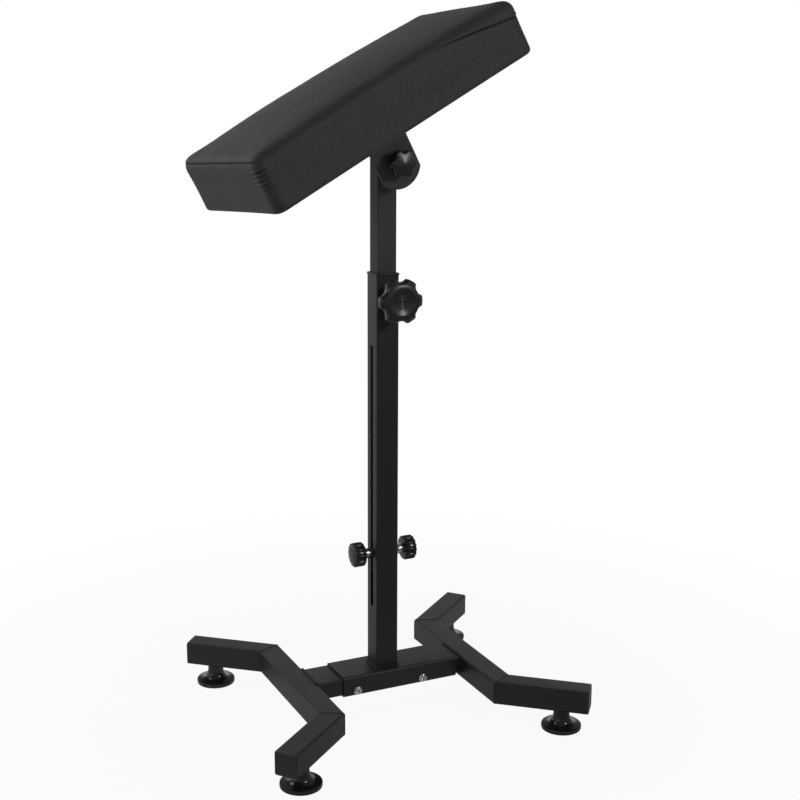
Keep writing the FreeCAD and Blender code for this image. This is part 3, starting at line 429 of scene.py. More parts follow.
class Graph:
    """Adds nodes to one shader or geometry tree."""

    def __init__(self, tree):
        self.tree = tree

    def add(self, kind, options=None, sockets=None):
        """A new node: its options are set first, then the values or links of its sockets."""
        node = self.tree.nodes.new(kind)
        for name, value in (options or {}).items():
            setattr(node, name, value)
        for key, value in (sockets or {}).items():
            socket = pick(node.inputs, key)
            if isinstance(value, Signal):
                self.tree.links.new(value.socket, socket)
            else:
                socket.default_value = value
        return Outputs(self, node)

    def maths(self, operation, *values):
        return self.add("ShaderNodeMath", {"operation": operation}, dict(enumerate(values)))["Value"]

    def between(self, factor, first, second):
        """A colour that goes from the first to the second."""
        return self.add("ShaderNodeMix", {"data_type": "RGBA"},
                        {"Factor": factor, "A": first, "B": second})["Result"]

    def shades(self, factor, base, dark, light):
        """A colour that goes from a darker to a lighter tone of a base colour."""
        return self.between(factor, toned(base, dark), toned(base, light))

    def noise(self, place, scale, detail=2.0, roughness=0.5):
        return self.add("ShaderNodeTexNoise", {}, {"Vector": place, "Scale": scale, "Detail": detail,
                                                   "Roughness": roughness})["Fac"]

    def turned_place(self, place, turn, scale=(1, 1, 1)):
        sockets = {"Vector": place, "Rotation": turn, "Scale": scale}
        return self.add("ShaderNodeMapping", {}, sockets)["Vector"]

    def parts(self, place):
        """The X, Y and Z of a vector."""
        return self.add("ShaderNodeSeparateXYZ", {}, {"Vector": place})

    def raised(self, height):
        """A vector that points up."""
        return self.add("ShaderNodeCombineXYZ", {}, {"Z": height})["Vector"]

    def attribute(self, name):
        return self.add("ShaderNodeAttribute", {"attribute_name": name})["Fac"]

    def way_out(self):
        """The way out of the surface that a path keeps at each point."""
        return self.add("GeometryNodeInputNamedAttribute", {"data_type": "FLOAT_VECTOR"},
                        {"Name": "out"})["Attribute"]

    def ridge(self, value, width):
        """A bump that is 1 where a value is 0 and fades over a width."""
        near = value / width
        return self.maths("EXPONENT", -(near * near))

    def bump(self, height, depth, strength=1.0, below=None):
        sockets = {"Height": height, "Distance": depth, "Strength": strength}
        if below:
            sockets["Normal"] = below
        return self.add("ShaderNodeBump", {}, sockets)["Normal"]


def start_material(name):
    """A new node material, its graph and the place that its patterns read."""
    made = bpy.data.materials.new(LOOK_PREFIX + name)
    made.use_nodes = True
    made.node_tree.nodes.clear()
    graph = Graph(made.node_tree)
    return made, graph, graph.add("ShaderNodeTexCoord")["Object"]


def close_material(graph, tint, roughness, normal, others=None):
    surface = graph.add("ShaderNodeBsdfPrincipled", {}, {"Base Color": tint, "Roughness": roughness,
                                                         "Normal": normal, **(others or {})})
    graph.add("ShaderNodeOutputMaterial", {}, {"Surface": surface["BSDF"]})


def toned(base, factor):
    return tuple(min(1, channel * factor) for channel in base) + (1,)


def powder_coat(name, base, streaky=False, gloss=0.5):
    """Satin powder coat: fine orange peel, faint clouds and a little dust."""
    paint = settings().paint
    made, graph, place = start_material(name)
    peel = graph.noise(place, 1 / paint.peel_size, detail=1.5)
    clouds = graph.noise(place, scale=11, detail=3)
    dust = graph.maths("GREATER_THAN", graph.noise(place, scale=1700, detail=0), 0.76)
    tint = graph.shades(clouds, base, dark=0.8, light=1.22)
    if streaky:
        bands = graph.noise(graph.turned_place(place, (0, 0, 0), scale=(4, 4, 240)), scale=1)
        tint = graph.between(bands * 0.5, tint, toned(base, 1.5))
    tint = graph.between(dust * 0.03, tint, (0.3, 0.3, 0.3, 1))
    roughness = paint.coat_roughness - 0.05 + 0.1 * graph.noise(place, scale=60)
    close_material(graph, tint, roughness, graph.bump(peel, paint.peel_depth, strength=0.8),
                   {"Specular IOR Level": gloss})
    return made


def plated(name, base, roughness):
    """Bright plating with fine turning marks and faint clouding."""
    made, graph, place = start_material(name)
    marks = graph.noise(place, scale=2400, detail=1)
    clouds = graph.noise(place, scale=130, detail=3)
    close_material(graph, graph.shades(clouds, base, dark=0.82, light=1.12),
                   roughness + 0.14 * (clouds - 0.5) + 0.03 * marks,
                   graph.bump(marks, depth=0.01 * MM, strength=0.5), {"Metallic": 1.0})
    return made


def plastic(name, base, roughness, grain, depth):
    """Moulded plastic with a spark-eroded grain, slightly uneven in its gloss."""
    made, graph, place = start_material(name)
    pits = graph.noise(place, 1 / (grain * MM))
    clouds = graph.noise(place, scale=34, detail=3)
    close_material(graph, graph.shades(clouds, base, dark=0.85, light=1.2),
                   roughness + 0.1 * (clouds - 0.5) + 0.04 * pits, graph.bump(pits, depth * MM, strength=0.7))
    return made


def leatherette():
    """Pebbled leatherette: cells with soft creases between them, and painted shade along the seam and in the
    folds.
    """
    paint = settings().paint
    made, graph, place = start_material("leatherette")
    wobble = graph.add("ShaderNodeTexNoise", {}, {"Vector": place, "Scale": 420.0, "Detail": 1.0})["Color"]
    shift = graph.add("ShaderNodeVectorMath", {"operation": "SCALE"}, {0: wobble, "Scale": 0.7 * MM})
    warped = graph.add("ShaderNodeVectorMath", {"operation": "ADD"}, {0: place, 1: shift["Vector"]})["Vector"]
    cells = graph.add("ShaderNodeTexVoronoi", {"feature": "DISTANCE_TO_EDGE"},
                      {"Vector": warped, "Scale": 1 / paint.leather_grain})["Distance"]
    pebbles = graph.maths("MINIMUM", cells * 3.2, 1.0)
    pores = graph.noise(place, scale=3300, detail=1)
    wide = graph.noise(place, scale=26, detail=3)
    groove = graph.ridge(graph.attribute("seam_gap"), width=0.7) * graph.attribute("seam_shown")
    creased = graph.shades(pebbles, paint.leather, dark=0.3, light=1.25)
    tint = graph.between(wide, creased, toned(paint.leather, 1.25))
    # Painted shade: the seam's groove and the folds' valleys are darkened towards near black
    hollow = graph.maths("MAXIMUM", groove, graph.attribute("fold"))
    shaded = graph.between(hollow * 0.55, tint, (0.004, 0.004, 0.004, 1))
    roughness = 0.56 - 0.1 * pebbles + 0.08 * (wide - 0.5) + 0.03 * pores
    grain = graph.bump(pebbles + 0.25 * pores, paint.leather_depth, strength=0.75)
    close_material(graph, shaded, roughness, graph.bump(-groove, depth=1.1 * MM, below=grain),
                   {"Specular IOR Level": 0.36})
    return made


def plywood():
    """Birch plywood: layers across the board's thickness and grain along its length."""
    paint = settings().paint
    ply = 1.5 * MM
    made, graph, place = start_material("birch_plywood")
    lying = graph.turned_place(place, (0, math.radians(PAD_TILT), 0))
    plies = graph.maths("PINGPONG", graph.parts(lying)["Z"], ply) / ply
    grain = graph.noise(graph.turned_place(lying, (0, 0, 0), scale=(18, 260, 260)), scale=1, detail=4)
    tint = graph.shades(grain, paint.wood, dark=0.62, light=1.15)
    layered = graph.between(graph.maths("GREATER_THAN", plies, 0.55) * 0.4, tint, toned(paint.wood, 0.45))
    close_material(graph, layered, 0.6 + 0.15 * grain, graph.bump(grain, depth=0.1 * MM, strength=0.5))
    return made


def dust_cloth():
    """Black bonded cloth: crossed fibres and the small dimples of its bonding."""
    made, graph, place = start_material("dust_cloth")
    fibres, crossed = (graph.noise(graph.turned_place(place, (0, 0, turn), stretch), 1, 3, roughness=0.7)
                       for turn, stretch in ((0.6, (900, 120, 500)), (-0.7, (120, 900, 500))))
    dimples = graph.add("ShaderNodeTexVoronoi", {"feature": "F1"}, {"Vector": place, "Scale": 620.0})
    web = graph.maths("MAXIMUM", fibres, crossed)
    relief = graph.bump(web + 0.6 * dimples["Distance"], depth=0.12 * MM, strength=0.9)
    close_material(graph, graph.shades(web, settings().paint.cloth, dark=0.5, light=2.0), 0.8 + 0.15 * web,
                   relief, {"Specular IOR Level": 0.25})
    return made


def sewing_thread():
    """Twisted thread with a slight sheen."""
    made, graph, place = start_material("sewing_thread")
    plies = graph.add("ShaderNodeTexWave", {"wave_type": "BANDS", "bands_direction": "DIAGONAL"},
                      {"Vector": place, "Scale": 900.0, "Distortion": 1.5})["Fac"]
    close_material(graph, graph.shades(plies, settings().paint.thread, dark=0.6, light=1.5),
                   0.42 + 0.2 * plies, graph.bump(plies, depth=0.06 * MM, strength=0.8))
    return made


def painted_weld():
    """Powder coat over a weld: the coat's peel on a rougher, spattered bead."""
    paint = settings().paint
    made, graph, place = start_material("painted_weld")
    peel = graph.noise(place, 1 / paint.peel_size)
    spatter = graph.noise(place, scale=380, detail=3)
    rough = graph.bump(spatter, depth=0.2 * MM, strength=0.7)
    close_material(graph, graph.shades(spatter, paint.coat, dark=0.75, light=1.3),
                   paint.coat_roughness - 0.06 + 0.12 * spatter,
                   graph.bump(peel, paint.peel_depth, strength=0.8, below=rough),
                   {"Specular IOR Level": 0.24})
    return made


# Each finish: the record's slot that it stands for, its maker, and what the maker is given, where a word
# names one of the paints
FINISHES = {
    "powder_coat": ("powder_coat", powder_coat, "coat"),
    # A lighter copy of the black coat for the post and the bracket, whose lift is painted light
    "post_coat": ("powder_coat", powder_coat, "mast", True, 0.06),
    "painted_weld": ("weld", painted_weld),
    "zinc_plating": ("zinc_plate", plated, "plating", 0.3),
    "bright_plating": ("zinc_plate", plated, "plating", 0.13),
    "satin_plastic": ("moulded_plastic", plastic, "moulding", 0.4, 0.5, 0.03),
    "star_plastic": ("moulded_plastic", plastic, "moulding", 0.27, 0.6, 0.02),
    "foot_plastic": ("glossy_plastic", plastic, "gloss", 0.14, 3, 0.01),
    "grip_plastic": ("glossy_plastic", plastic, "gloss", 0.2, 2, 0.01),
    "brass": ("brass_insert", plated, "brass", 0.3),
    "leatherette": ("leatherette", leatherette),
    "birch_plywood": ("plywood", plywood),
    "dust_cloth": ("dust_cloth", dust_cloth),
    "sewing_thread": ("leatherette", sewing_thread),
}


def finish(name):
    """The named material, made when it is first asked for."""
    known = bpy.data.materials.get(LOOK_PREFIX + name)
    if known:
        return known
    _, maker, *given = FINISHES[name]
    if given:
        given = [name, getattr(settings().paint, given[0]), *given[1:]]
    return maker(*given)


# Meshes
def facing(direction, at):
    """Millimetre drawing space whose Z runs along a level direction, with its origin at a place in metres."""
    along = Vector(direction).normalized()
    across = UP.cross(along).normalized()
    turn = Matrix((across, along.cross(across), along)).transposed().to_4x4()
    return Matrix.Translation(at) @ turn @ MILLIMETRES


def towards_front(x, y, z):
    """Drawing space for a piece that points to the front: its X is the stand's X and its Y is up."""
    return Matrix.Translation(Vector((x, y, z)) * MM) @ Matrix.Rotation(QUARTER_TURN, 4, "X") @ MILLIMETRES


def on_pivot(node):
    """Drawing space on the tilt pivot's axis that starts at a node's rear end."""
    return towards_front(0, in_mm(box_of(node)[1].y), PIVOT_HEIGHT)


def beside_column(side, node):
    """Drawing space that points away from the column and starts at a node's inner end."""
    low, high, middle = box_of(node)
    inner = high.x if LEGS[side] < 0 else low.x
    return facing((LEGS[side], 0, 0), Vector((inner, 0, middle.z)))


def new_piece(name, mesh, body, finish_name, replaced=(), crease=35):
    """Shows a finished mesh as a piece that rides a body and wears a finish."""
    mesh.materials.clear()
    mesh.materials.append(finish(finish_name))
    mesh.shade_smooth()
    mesh.set_sharp_from_angle(angle=math.radians(crease))
    made = bpy.data.objects.new(name, mesh)
    bpy.context.collection.objects.link(made)
    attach(made, body)
    FINISHES[finish_name][0]
    if replaced:
        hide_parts(*replaced)
    return made


def mesh_from(name, shape):
    """A mesh from a bmesh, its doubles merged and its faces turned outwards."""
    bmesh.ops.remove_doubles(shape, verts=shape.verts, dist=DOUBLES_WITHIN)
    bmesh.ops.recalc_face_normals(shape, faces=shape.faces)
    mesh = bpy.data.meshes.new(name)
    shape.to_mesh(mesh)
    shape.free()
    return mesh


def bridge(shape, low, high):
    """Faces between two rings, either of which may be a single point."""
    count = max(len(low), len(high))
    for place in range(count):
        following = (place + 1) % count
        corners = []
        for ring, steps in ((low, (place, following)), (high, (following, place))):
            corners += [ring[0]] if len(ring) == 1 else [ring[step] for step in steps]
        if len(corners) > 2:
            shape.faces.new(corners)


def stack(shape, rings, closed=False):
    """Bridges rings in order. Open ends are capped, or joined to each other where closed."""
    for low, high in zip(rings, rings[1:]):
        bridge(shape, low, high)
    if closed:
        bridge(shape, rings[-1], rings[0])
        return
    for ring in (rings[0], rings[-1]):
        if len(ring) > 2:
            shape.faces.new(ring)


def add_turning(shape, outline, place, segments=48, reach=None, closed=False):
    """Adds a turned form. reach(angle, radius, height) may shift a point's radius and height."""
    rings = []
    for radius, height in outline:
        if not radius:
            rings.append([shape.verts.new(place @ Vector((0, 0, height)))])
            continue
        ring = []
        for step in range(segments):
            angle = FULL_TURN * step / segments
            far, high = reach(angle, radius, height) if reach else (radius, height)
            ring.append(shape.verts.new(place @ Vector((far * math.cos(angle), far * math.sin(angle), high))))
        rings.append(ring)
    stack(shape, rings, closed)


def turning(name, outline, place, segments=48, reach=None, closed=False):
    shape = bmesh.new()
    add_turning(shape, outline, place, segments, reach, closed)
    return mesh_from(name, shape)


def turned_piece(name, outline, place, body, finish_name, node, crease=35, **options):
    """A turned piece that stands for a CAD node."""
    return new_piece(name, turning(name, outline, place, **options), body, finish_name, (node,), crease)


def swept(points, steps):
    """Points along the Bezier curve of four control points, both ends included."""
    start, leave, arrive, end = (Vector(point) for point in points)
    line = []
    for step in range(steps + 1):
        t = step / steps
        u = 1 - t
        line.append(tuple(u ** 3 * start + 3 * u * u * t * leave + 3 * u * t * t * arrive + t ** 3 * end))
    return line


def hexagon_reach(across, angle):
    """Distance from a hexagon's middle to its side at an angle."""
    return across / 2 / math.cos((angle + math.pi / 6) % (math.pi / 3) - math.pi / 6)


def across_flats(low, high):
    """A nut's size over its flats, from the heights of its lowest and highest corners."""
    return in_mm(high.z - low.z) * math.cos(math.radians(30))


def add_hexagon(shape, across, height, place, bore=0):
    """Adds a hexagon nut or head with both ends turned to a chamfer."""
    inner = across / 2 * CHAMFER_SHARE

    def reach(angle, radius, level):
        if radius < across / 2:
            return radius, level
        far = hexagon_reach(across, angle)
        drop = (far - inner) * math.tan(math.radians(30))
        return far, level + (drop if level < height / 2 else -drop)
    outline = [(bore, 0), (inner, 0), (across / 2, 0), (across / 2, height), (inner, height), (bore, height)]
    add_turning(shape, outline, place, 48, reach, bool(bore))


def rounded_loop(half_x, half_y, radius, level, place, steps=5):
    """Points round a rounded rectangle, at a level of a drawing space."""
    loop = []
    for side_x, side_y, start in ((1, 1, 0), (-1, 1, 90), (-1, -1, 180), (1, -1, 270)):
        for step in range(steps + 1):
            angle = math.radians(start + 90 * step / steps)
            loop.append(place @ Vector((side_x * (half_x - radius) + radius * math.cos(angle),
                                        side_y * (half_y - radius) + radius * math.sin(angle), level)))
    return loop


def loop_about(place, reach, count):
    """Points round a drawing space's axis, at the distance that reach gives for each angle."""
    angles = [FULL_TURN * step / count for step in range(count)]
    return [place @ Vector((reach(angle) * math.cos(angle), reach(angle) * math.sin(angle), 0))
            for angle in angles]


def smooth_step(low, high, value):
    t = min(1, max(0, (value - low) / (high - low)))
    return t * t * (3 - 2 * t)


def scalloped(count, depth, rim, lobe_share, inner):
    """A reach that cuts round hollows into a knob's rim between its lobes and leaves its middle round."""
    depth = in_mm(depth)
    spacing = FULL_TURN / count
    half_hollow = spacing / 2 * (1 - lobe_share)
    sag = rim * (1 - math.cos(half_hollow))
    half_chord = rim * math.sin(half_hollow)
    hollow = ((depth - sag) ** 2 + half_chord ** 2) / (2 * (depth - sag))
    middle = rim - depth + hollow

    def reach(angle, radius, height):
        off = abs(angle % spacing - spacing / 2)
        if off >= half_hollow:
            return radius, height
        cut = rim - (middle * math.cos(off) - math.sqrt(max(0, hollow ** 2 - (middle * math.sin(off)) ** 2)))
        return radius - cut * smooth_step(inner, rim - 1, radius), height
    return reach


def merged_copy(node, name):
    """A copy of a CAD node's mesh with its loose triangles joined."""
    mesh = frame["nodes"][node].data.copy()
    mesh.name = name
    shape = bmesh.new()
    shape.from_mesh(mesh)
    bmesh.ops.remove_doubles(shape, verts=shape.verts, dist=CAD_DOUBLES_WITHIN)
    shape.to_mesh(mesh)
    shape.free()
    return mesh


def body_of_node(node):
    """The CAD body that a node is in."""
    bodies = frame["record"]["behaviour"]["bodies"]
    return next(body for body, nodes in bodies.items() if node in nodes)


def refinish(prefix, finish_name, nodes):
    """Smooth copies of CAD nodes, in a finish."""
    for node in nodes:
        name = prefix + node
        new_piece(name, merged_copy(node, name), body_of_node(node), finish_name, (node,), 28)


# Geometry Nodes
def new_geometry_tree(name, inputs):
    """A geometry tree with named inputs, its graph, and its inputs as signals."""
    tree = bpy.data.node_groups.new(name, "GeometryNodeTree")
    kinds = {"FLOAT": "NodeSocketFloat", "INT": "NodeSocketInt", "OBJECT": "NodeSocketObject",
             "MATERIAL": "NodeSocketMaterial"}
    tree.interface.new_socket("Geometry", in_out="INPUT", socket_type="NodeSocketGeometry")
    tree.interface.new_socket("Geometry", in_out="OUTPUT", socket_type="NodeSocketGeometry")
    for label, kind in inputs.items():
        tree.interface.new_socket(label, in_out="INPUT", socket_type=kinds[kind])
    graph = Graph(tree)
    return tree, graph, graph.add("NodeGroupInput")


def close_geometry_tree(graph, geometry, material):
    """Realizes what a tree made, gives it its material and sends it out."""
    real = graph.add("GeometryNodeRealizeInstances", {}, {"Geometry": geometry})["Geometry"]
    painted = graph.add("GeometryNodeSetMaterial", {}, {"Geometry": real, "Material": material})["Geometry"]
    graph.add("NodeGroupOutput", {}, {"Geometry": painted})


def grown_mesh(name, tree, base, values):
    """The mesh that a tree grows on a base mesh, with no modifier left."""
    holder = bpy.data.objects.new(name + "_base", base)
    bpy.context.collection.objects.link(holder)
    modifier = holder.modifiers.new(tree.name, "NODES")
    modifier.node_group = tree
    for item in tree.interface.items_tree:
        if item.item_type == "SOCKET" and item.in_out == "INPUT" and item.name in values:
            modifier[item.identifier] = values[item.name]
    made = baked(holder, name)
    bpy.data.objects.remove(holder)
    return made


def baked(thing, name):
    """A plain mesh of an object as its modifiers show it."""
    bpy.context.view_layer.update()
    evaluated = thing.evaluated_get(bpy.context.evaluated_depsgraph_get())
    mesh = bpy.data.meshes.new_from_object(evaluated)
    mesh.name = name
    return mesh


def path_mesh(name, loops, outs=None, closed=True):
    """Lines for a tree to follow, with the way out of the surface at each point."""
    mesh = bpy.data.meshes.new(name)
    points = []
    lines = []
    for loop in loops:
        first = len(points)
        points += loop
        lines += [(first + step, first + step + 1) for step in range(len(loop) - 1)]
        if closed:
            lines.append((len(points) - 1, first))
    mesh.from_pydata(points, lines, [])
    if outs:
        out = mesh.attributes.new("out", "FLOAT_VECTOR", "POINT")
        out.data.foreach_set("vector", [part for way in outs for part in way])
    return mesh


def bead_tree():
    """A rippled bead along a path."""
    tree, graph, given = new_geometry_tree("Weld Bead", {"Radius": "FLOAT", "Step": "FLOAT", "Pitch": "FLOAT",
                                                         "Ripple": "FLOAT", "Material": "MATERIAL"})
    line = graph.add("GeometryNodeMeshToCurve", {}, {"Mesh": given["Geometry"]})["Curve"]
    fine = graph.add("GeometryNodeResampleCurve", {"mode": "LENGTH"},
                     {"Curve": line, "Length": given["Step"]})["Curve"]
    along = graph.add("GeometryNodeSplineParameter")["Length"]
    wave = graph.maths("PINGPONG", along / given["Pitch"], 0.5) * 2
    radius = given["Radius"] * (1 - given["Ripple"] * wave * wave)
    swollen = graph.add("GeometryNodeSetCurveRadius", {}, {"Curve": fine, "Radius": radius})["Curve"]
    ring = graph.add("GeometryNodeCurvePrimitiveCircle", {}, {"Resolution": 10, "Radius": 1.0})["Curve"]
    solid = graph.add("GeometryNodeCurveToMesh", {},
                      {"Curve": swollen, "Profile Curve": ring, "Fill Caps": True, "Scale": radius})["Mesh"]
    close_geometry_tree(graph, solid, given["Material"])
    return tree


def thread_tree():
    """A threaded rod that stands on the origin: a core with a ridge wound round it."""
    tree, graph, given = new_geometry_tree("Threaded Rod", {
        "Radius": "FLOAT", "Length": "FLOAT", "Pitch": "FLOAT", "Material": "MATERIAL"})
    ridge = given["Pitch"] * 0.34
    middle = given["Radius"] - ridge
    wound_length = given["Length"] - given["Pitch"]
    coil = graph.add("GeometryNodeCurveSpiral", {}, {
        "Resolution": 18, "Rotations": wound_length / given["Pitch"], "Start Radius": middle,
        "End Radius": middle, "Height": wound_length})["Curve"]
    section = graph.add("GeometryNodeCurvePrimitiveCircle", {}, {"Resolution": 6, "Radius": ridge})["Curve"]
    wound = graph.add("GeometryNodeCurveToMesh", {},
                      {"Curve": coil, "Profile Curve": section, "Fill Caps": True})["Mesh"]
    rod = graph.add("GeometryNodeMeshCylinder", {}, {"Vertices": 36, "Radius": middle,
                                                     "Depth": given["Length"]})["Mesh"]
    both = graph.add("GeometryNodeJoinGeometry")
    for part, height in ((wound, given["Pitch"] / 2), (rod, given["Length"] / 2)):
        lifted = graph.add("GeometryNodeTransform", {},
                           {"Geometry": part, "Translation": graph.raised(height)})
        graph.tree.links.new(lifted["Geometry"].socket, both.node.inputs["Geometry"])
    close_geometry_tree(graph, both["Geometry"], given["Material"])
    return tree


def row_tree():
    """Copies of a small object in a row along a path, upright on the surface that the path lies on."""
    tree, graph, given = new_geometry_tree("Row Along Path", {"Object": "OBJECT", "Pitch": "FLOAT",
                                                              "Material": "MATERIAL"})
    line = graph.add("GeometryNodeMeshToCurve", {}, {"Mesh": given["Geometry"]})["Curve"]
    spaced = graph.add("GeometryNodeResampleCurve", {"mode": "LENGTH"},
                       {"Curve": line, "Length": given["Pitch"]})["Curve"]
    along = graph.add("GeometryNodeInputTangent")["Tangent"]
    turn = graph.add("FunctionNodeAxesToRotation", {"primary_axis": "X", "secondary_axis": "Z"},
                     {"Primary Axis": along, "Secondary Axis": graph.way_out()})["Rotation"]
    one = graph.add("GeometryNodeObjectInfo", {}, {"Object": given["Object"]})["Geometry"]
    row = graph.add("GeometryNodeInstanceOnPoints", {},
                    {"Points": spaced, "Instance": one, "Rotation": turn})["Instances"]
    close_geometry_tree(graph, row, given["Material"])
    return tree


def scatter_tree():
    """Copies of a small object on loose points, each turned by a seeded angle about its own axis."""
    tree, graph, given = new_geometry_tree("Fasteners On Points", {"Object": "OBJECT", "Seed": "INT",
                                                                   "Material": "MATERIAL"})
    spin = graph.add("FunctionNodeRandomValue", {"data_type": "FLOAT"},
                     {"Min": 0.0, "Max": FULL_TURN, "Seed": given["Seed"]})["Value"]
    stand = graph.add("FunctionNodeAlignRotationToVector", {"axis": "Z"},
                      {"Vector": graph.way_out()})["Rotation"]
    turned = graph.add("FunctionNodeRotateRotation", {"rotation_space": "LOCAL"},
                       {"Rotation": stand, "Rotate By": graph.raised(spin)})["Rotation"]
    one = graph.add("GeometryNodeObjectInfo", {}, {"Object": given["Object"]})["Geometry"]
    spots = graph.add("GeometryNodeMeshToPoints", {}, {"Mesh": given["Geometry"]})["Points"]
    copies = graph.add("GeometryNodeInstanceOnPoints", {},
                       {"Points": spots, "Instance": one, "Rotation": turned})["Instances"]
    close_geometry_tree(graph, copies, given["Material"])
    return tree


def tree(maker):
    """The geometry tree that a maker builds, built once."""
    known = {"bead_tree": "Weld Bead", "thread_tree": "Threaded Rod", "row_tree": "Row Along Path",
             "scatter_tree": "Fasteners On Points"}
    return bpy.data.node_groups.get(known[maker.__name__]) or maker()


def grown_copies(name, maker, small, path, values, finish_name):
    """The mesh of the copies of a small mesh that a tree sets along a path."""
    one = bpy.data.objects.new(name + "_one", small)
    made = grown_mesh(name, tree(maker), path, {"Object": one, "Material": finish(finish_name), **values})
    bpy.data.objects.remove(one)
    return made


def add_row(name, small, loop, outs, pitch, body, finish_name):
    """A row of a small mesh's copies along a closed path."""
    path = path_mesh(name + "_path", [loop], outs)
    made = grown_copies(name, row_tree, small, path, {"Pitch": pitch}, finish_name)
    return new_piece(name, made, body, finish_name, crease=50)


def add_bead(name, loops, radius, body, ripple=None, replaced=()):
    """A painted weld bead along closed paths."""
    hardware = settings().hardware
    made = grown_mesh(name, tree(bead_tree), path_mesh(name + "_path", loops), {
        "Radius": radius, "Step": BEAD_STEP * MM, "Pitch": hardware.ripple_pitch,
        "Ripple": hardware.ripple_share if ripple is None else ripple, "Material": finish("painted_weld")})
    return new_piece(name, made, body, "painted_weld", replaced, 60)


def add_thread(name, radius, length, pitch, place, node):
    """A threaded stud that stands for a node, which is a body of its own."""
    made = grown_mesh(name, tree(thread_tree), bpy.data.meshes.new(name + "_path"), {
        "Radius": radius * MM, "Length": length, "Pitch": pitch, "Material": finish("zinc_plating")})
    made.transform(place)
    return new_piece(name, made, node, "zinc_plating", (node,), 40)


def box_of(node):
    """A CAD node's lowest corner, highest corner and middle, in metres."""
    low, high = (Vector(corner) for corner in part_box(node))
    return low, high, (low + high) / 2


def arm_direction(leg, end):
    angle = math.radians(ARM_ANGLE)
    return Vector((LEGS[leg] * math.cos(angle), ENDS[end] * math.sin(angle), 0))


# Pieces
class ARMREST_OT_paint_steelwork(bpy.types.Operator):
    """Coat the tubes, the bracket and the tilt joint's boss"""
    bl_idname = "armrest.paint_steelwork"
    bl_label = "Paint Steelwork"

    def execute(self, context):
        tubes = ["left_leg_middle", "right_leg_middle", "sleeve", "left_stub", "right_stub", "outer_column"]
        tubes += ["%s_leg_%s_arm" % corner for corner in CORNERS]
        refinish("coated_", "powder_coat", tubes)
        # The post and the bracket wear the lighter copy of the coat, whose lift is painted light
        refinish("coated_", "post_coat", ["mast", "tilt_bracket"])
        turned_piece("coated_pivot_boss", BOSS_OUTLINE, towards_front(0, 0, PIVOT_HEIGHT), "mast",
                     "powder_coat", "pivot_boss", segments=64, closed=True)
        return {"FINISHED"}


class ARMREST_OT_close_tubes(bpy.types.Operator):
    """Close the open tube ends with moulded caps and line the column with its bush"""
    bl_idname = "armrest.close_tubes"
    bl_label = "Close Tubes"

    def execute(self, context):
        refinish("moulded_", "satin_plastic", ["guide_bush", "mast_guide", "mast_cap"])
        for leg, end in CORNERS:
            node = "%s_leg_%s" % (leg, end)
            middle = box_of(node + "_foot")[2]
            way = arm_direction(leg, end)
            at = Vector((middle.x, middle.y, LEG_MIDDLE_HEIGHT * MM)) + way * FOOT_TO_ARM_END * MM
            shape = bmesh.new()
            stack(shape, [[shape.verts.new(point)
                           for point in rounded_loop(reach, reach, corner, level, facing(way, at))]
                          for reach, corner, level in END_CAP_RINGS])
            new_piece(node + "_cap", mesh_from(node + "_cap", shape), "base", "satin_plastic",
                      (node + "_end_cap",), 25)
        return {"FINISHED"}


class ARMREST_OT_set_feet(bpy.types.Operator):
    """Turn the glossy levelling feet and thread their studs"""
    bl_idname = "armrest.set_feet"
    bl_label = "Set Feet"

    def execute(self, context):
        outline = FOOT_UNDERSIDE + tuple(swept(FOOT_SWEEP, 14))[1:] + FOOT_NECK
        for leg, end in CORNERS:
            node = "%s_leg_%s_foot" % (leg, end)
            middle = box_of(node)[2]
            turned_piece(node + "_glide", outline, Matrix.Translation((middle.x, middle.y, 0)) @ MILLIMETRES,
                         node, "foot_plastic", node, crease=40, segments=72)
            low, high, _ = box_of(node + "_screw")
            add_thread(node + "_stud", FOOT_STUD_RADIUS, high.z - low.z, settings().hardware.foot_pitch,
                       Matrix.Translation((middle.x, middle.y, low.z)), node + "_screw")
        refinish("plated_", "zinc_plating", ["foot_nuts"])
        return {"FINISHED"}


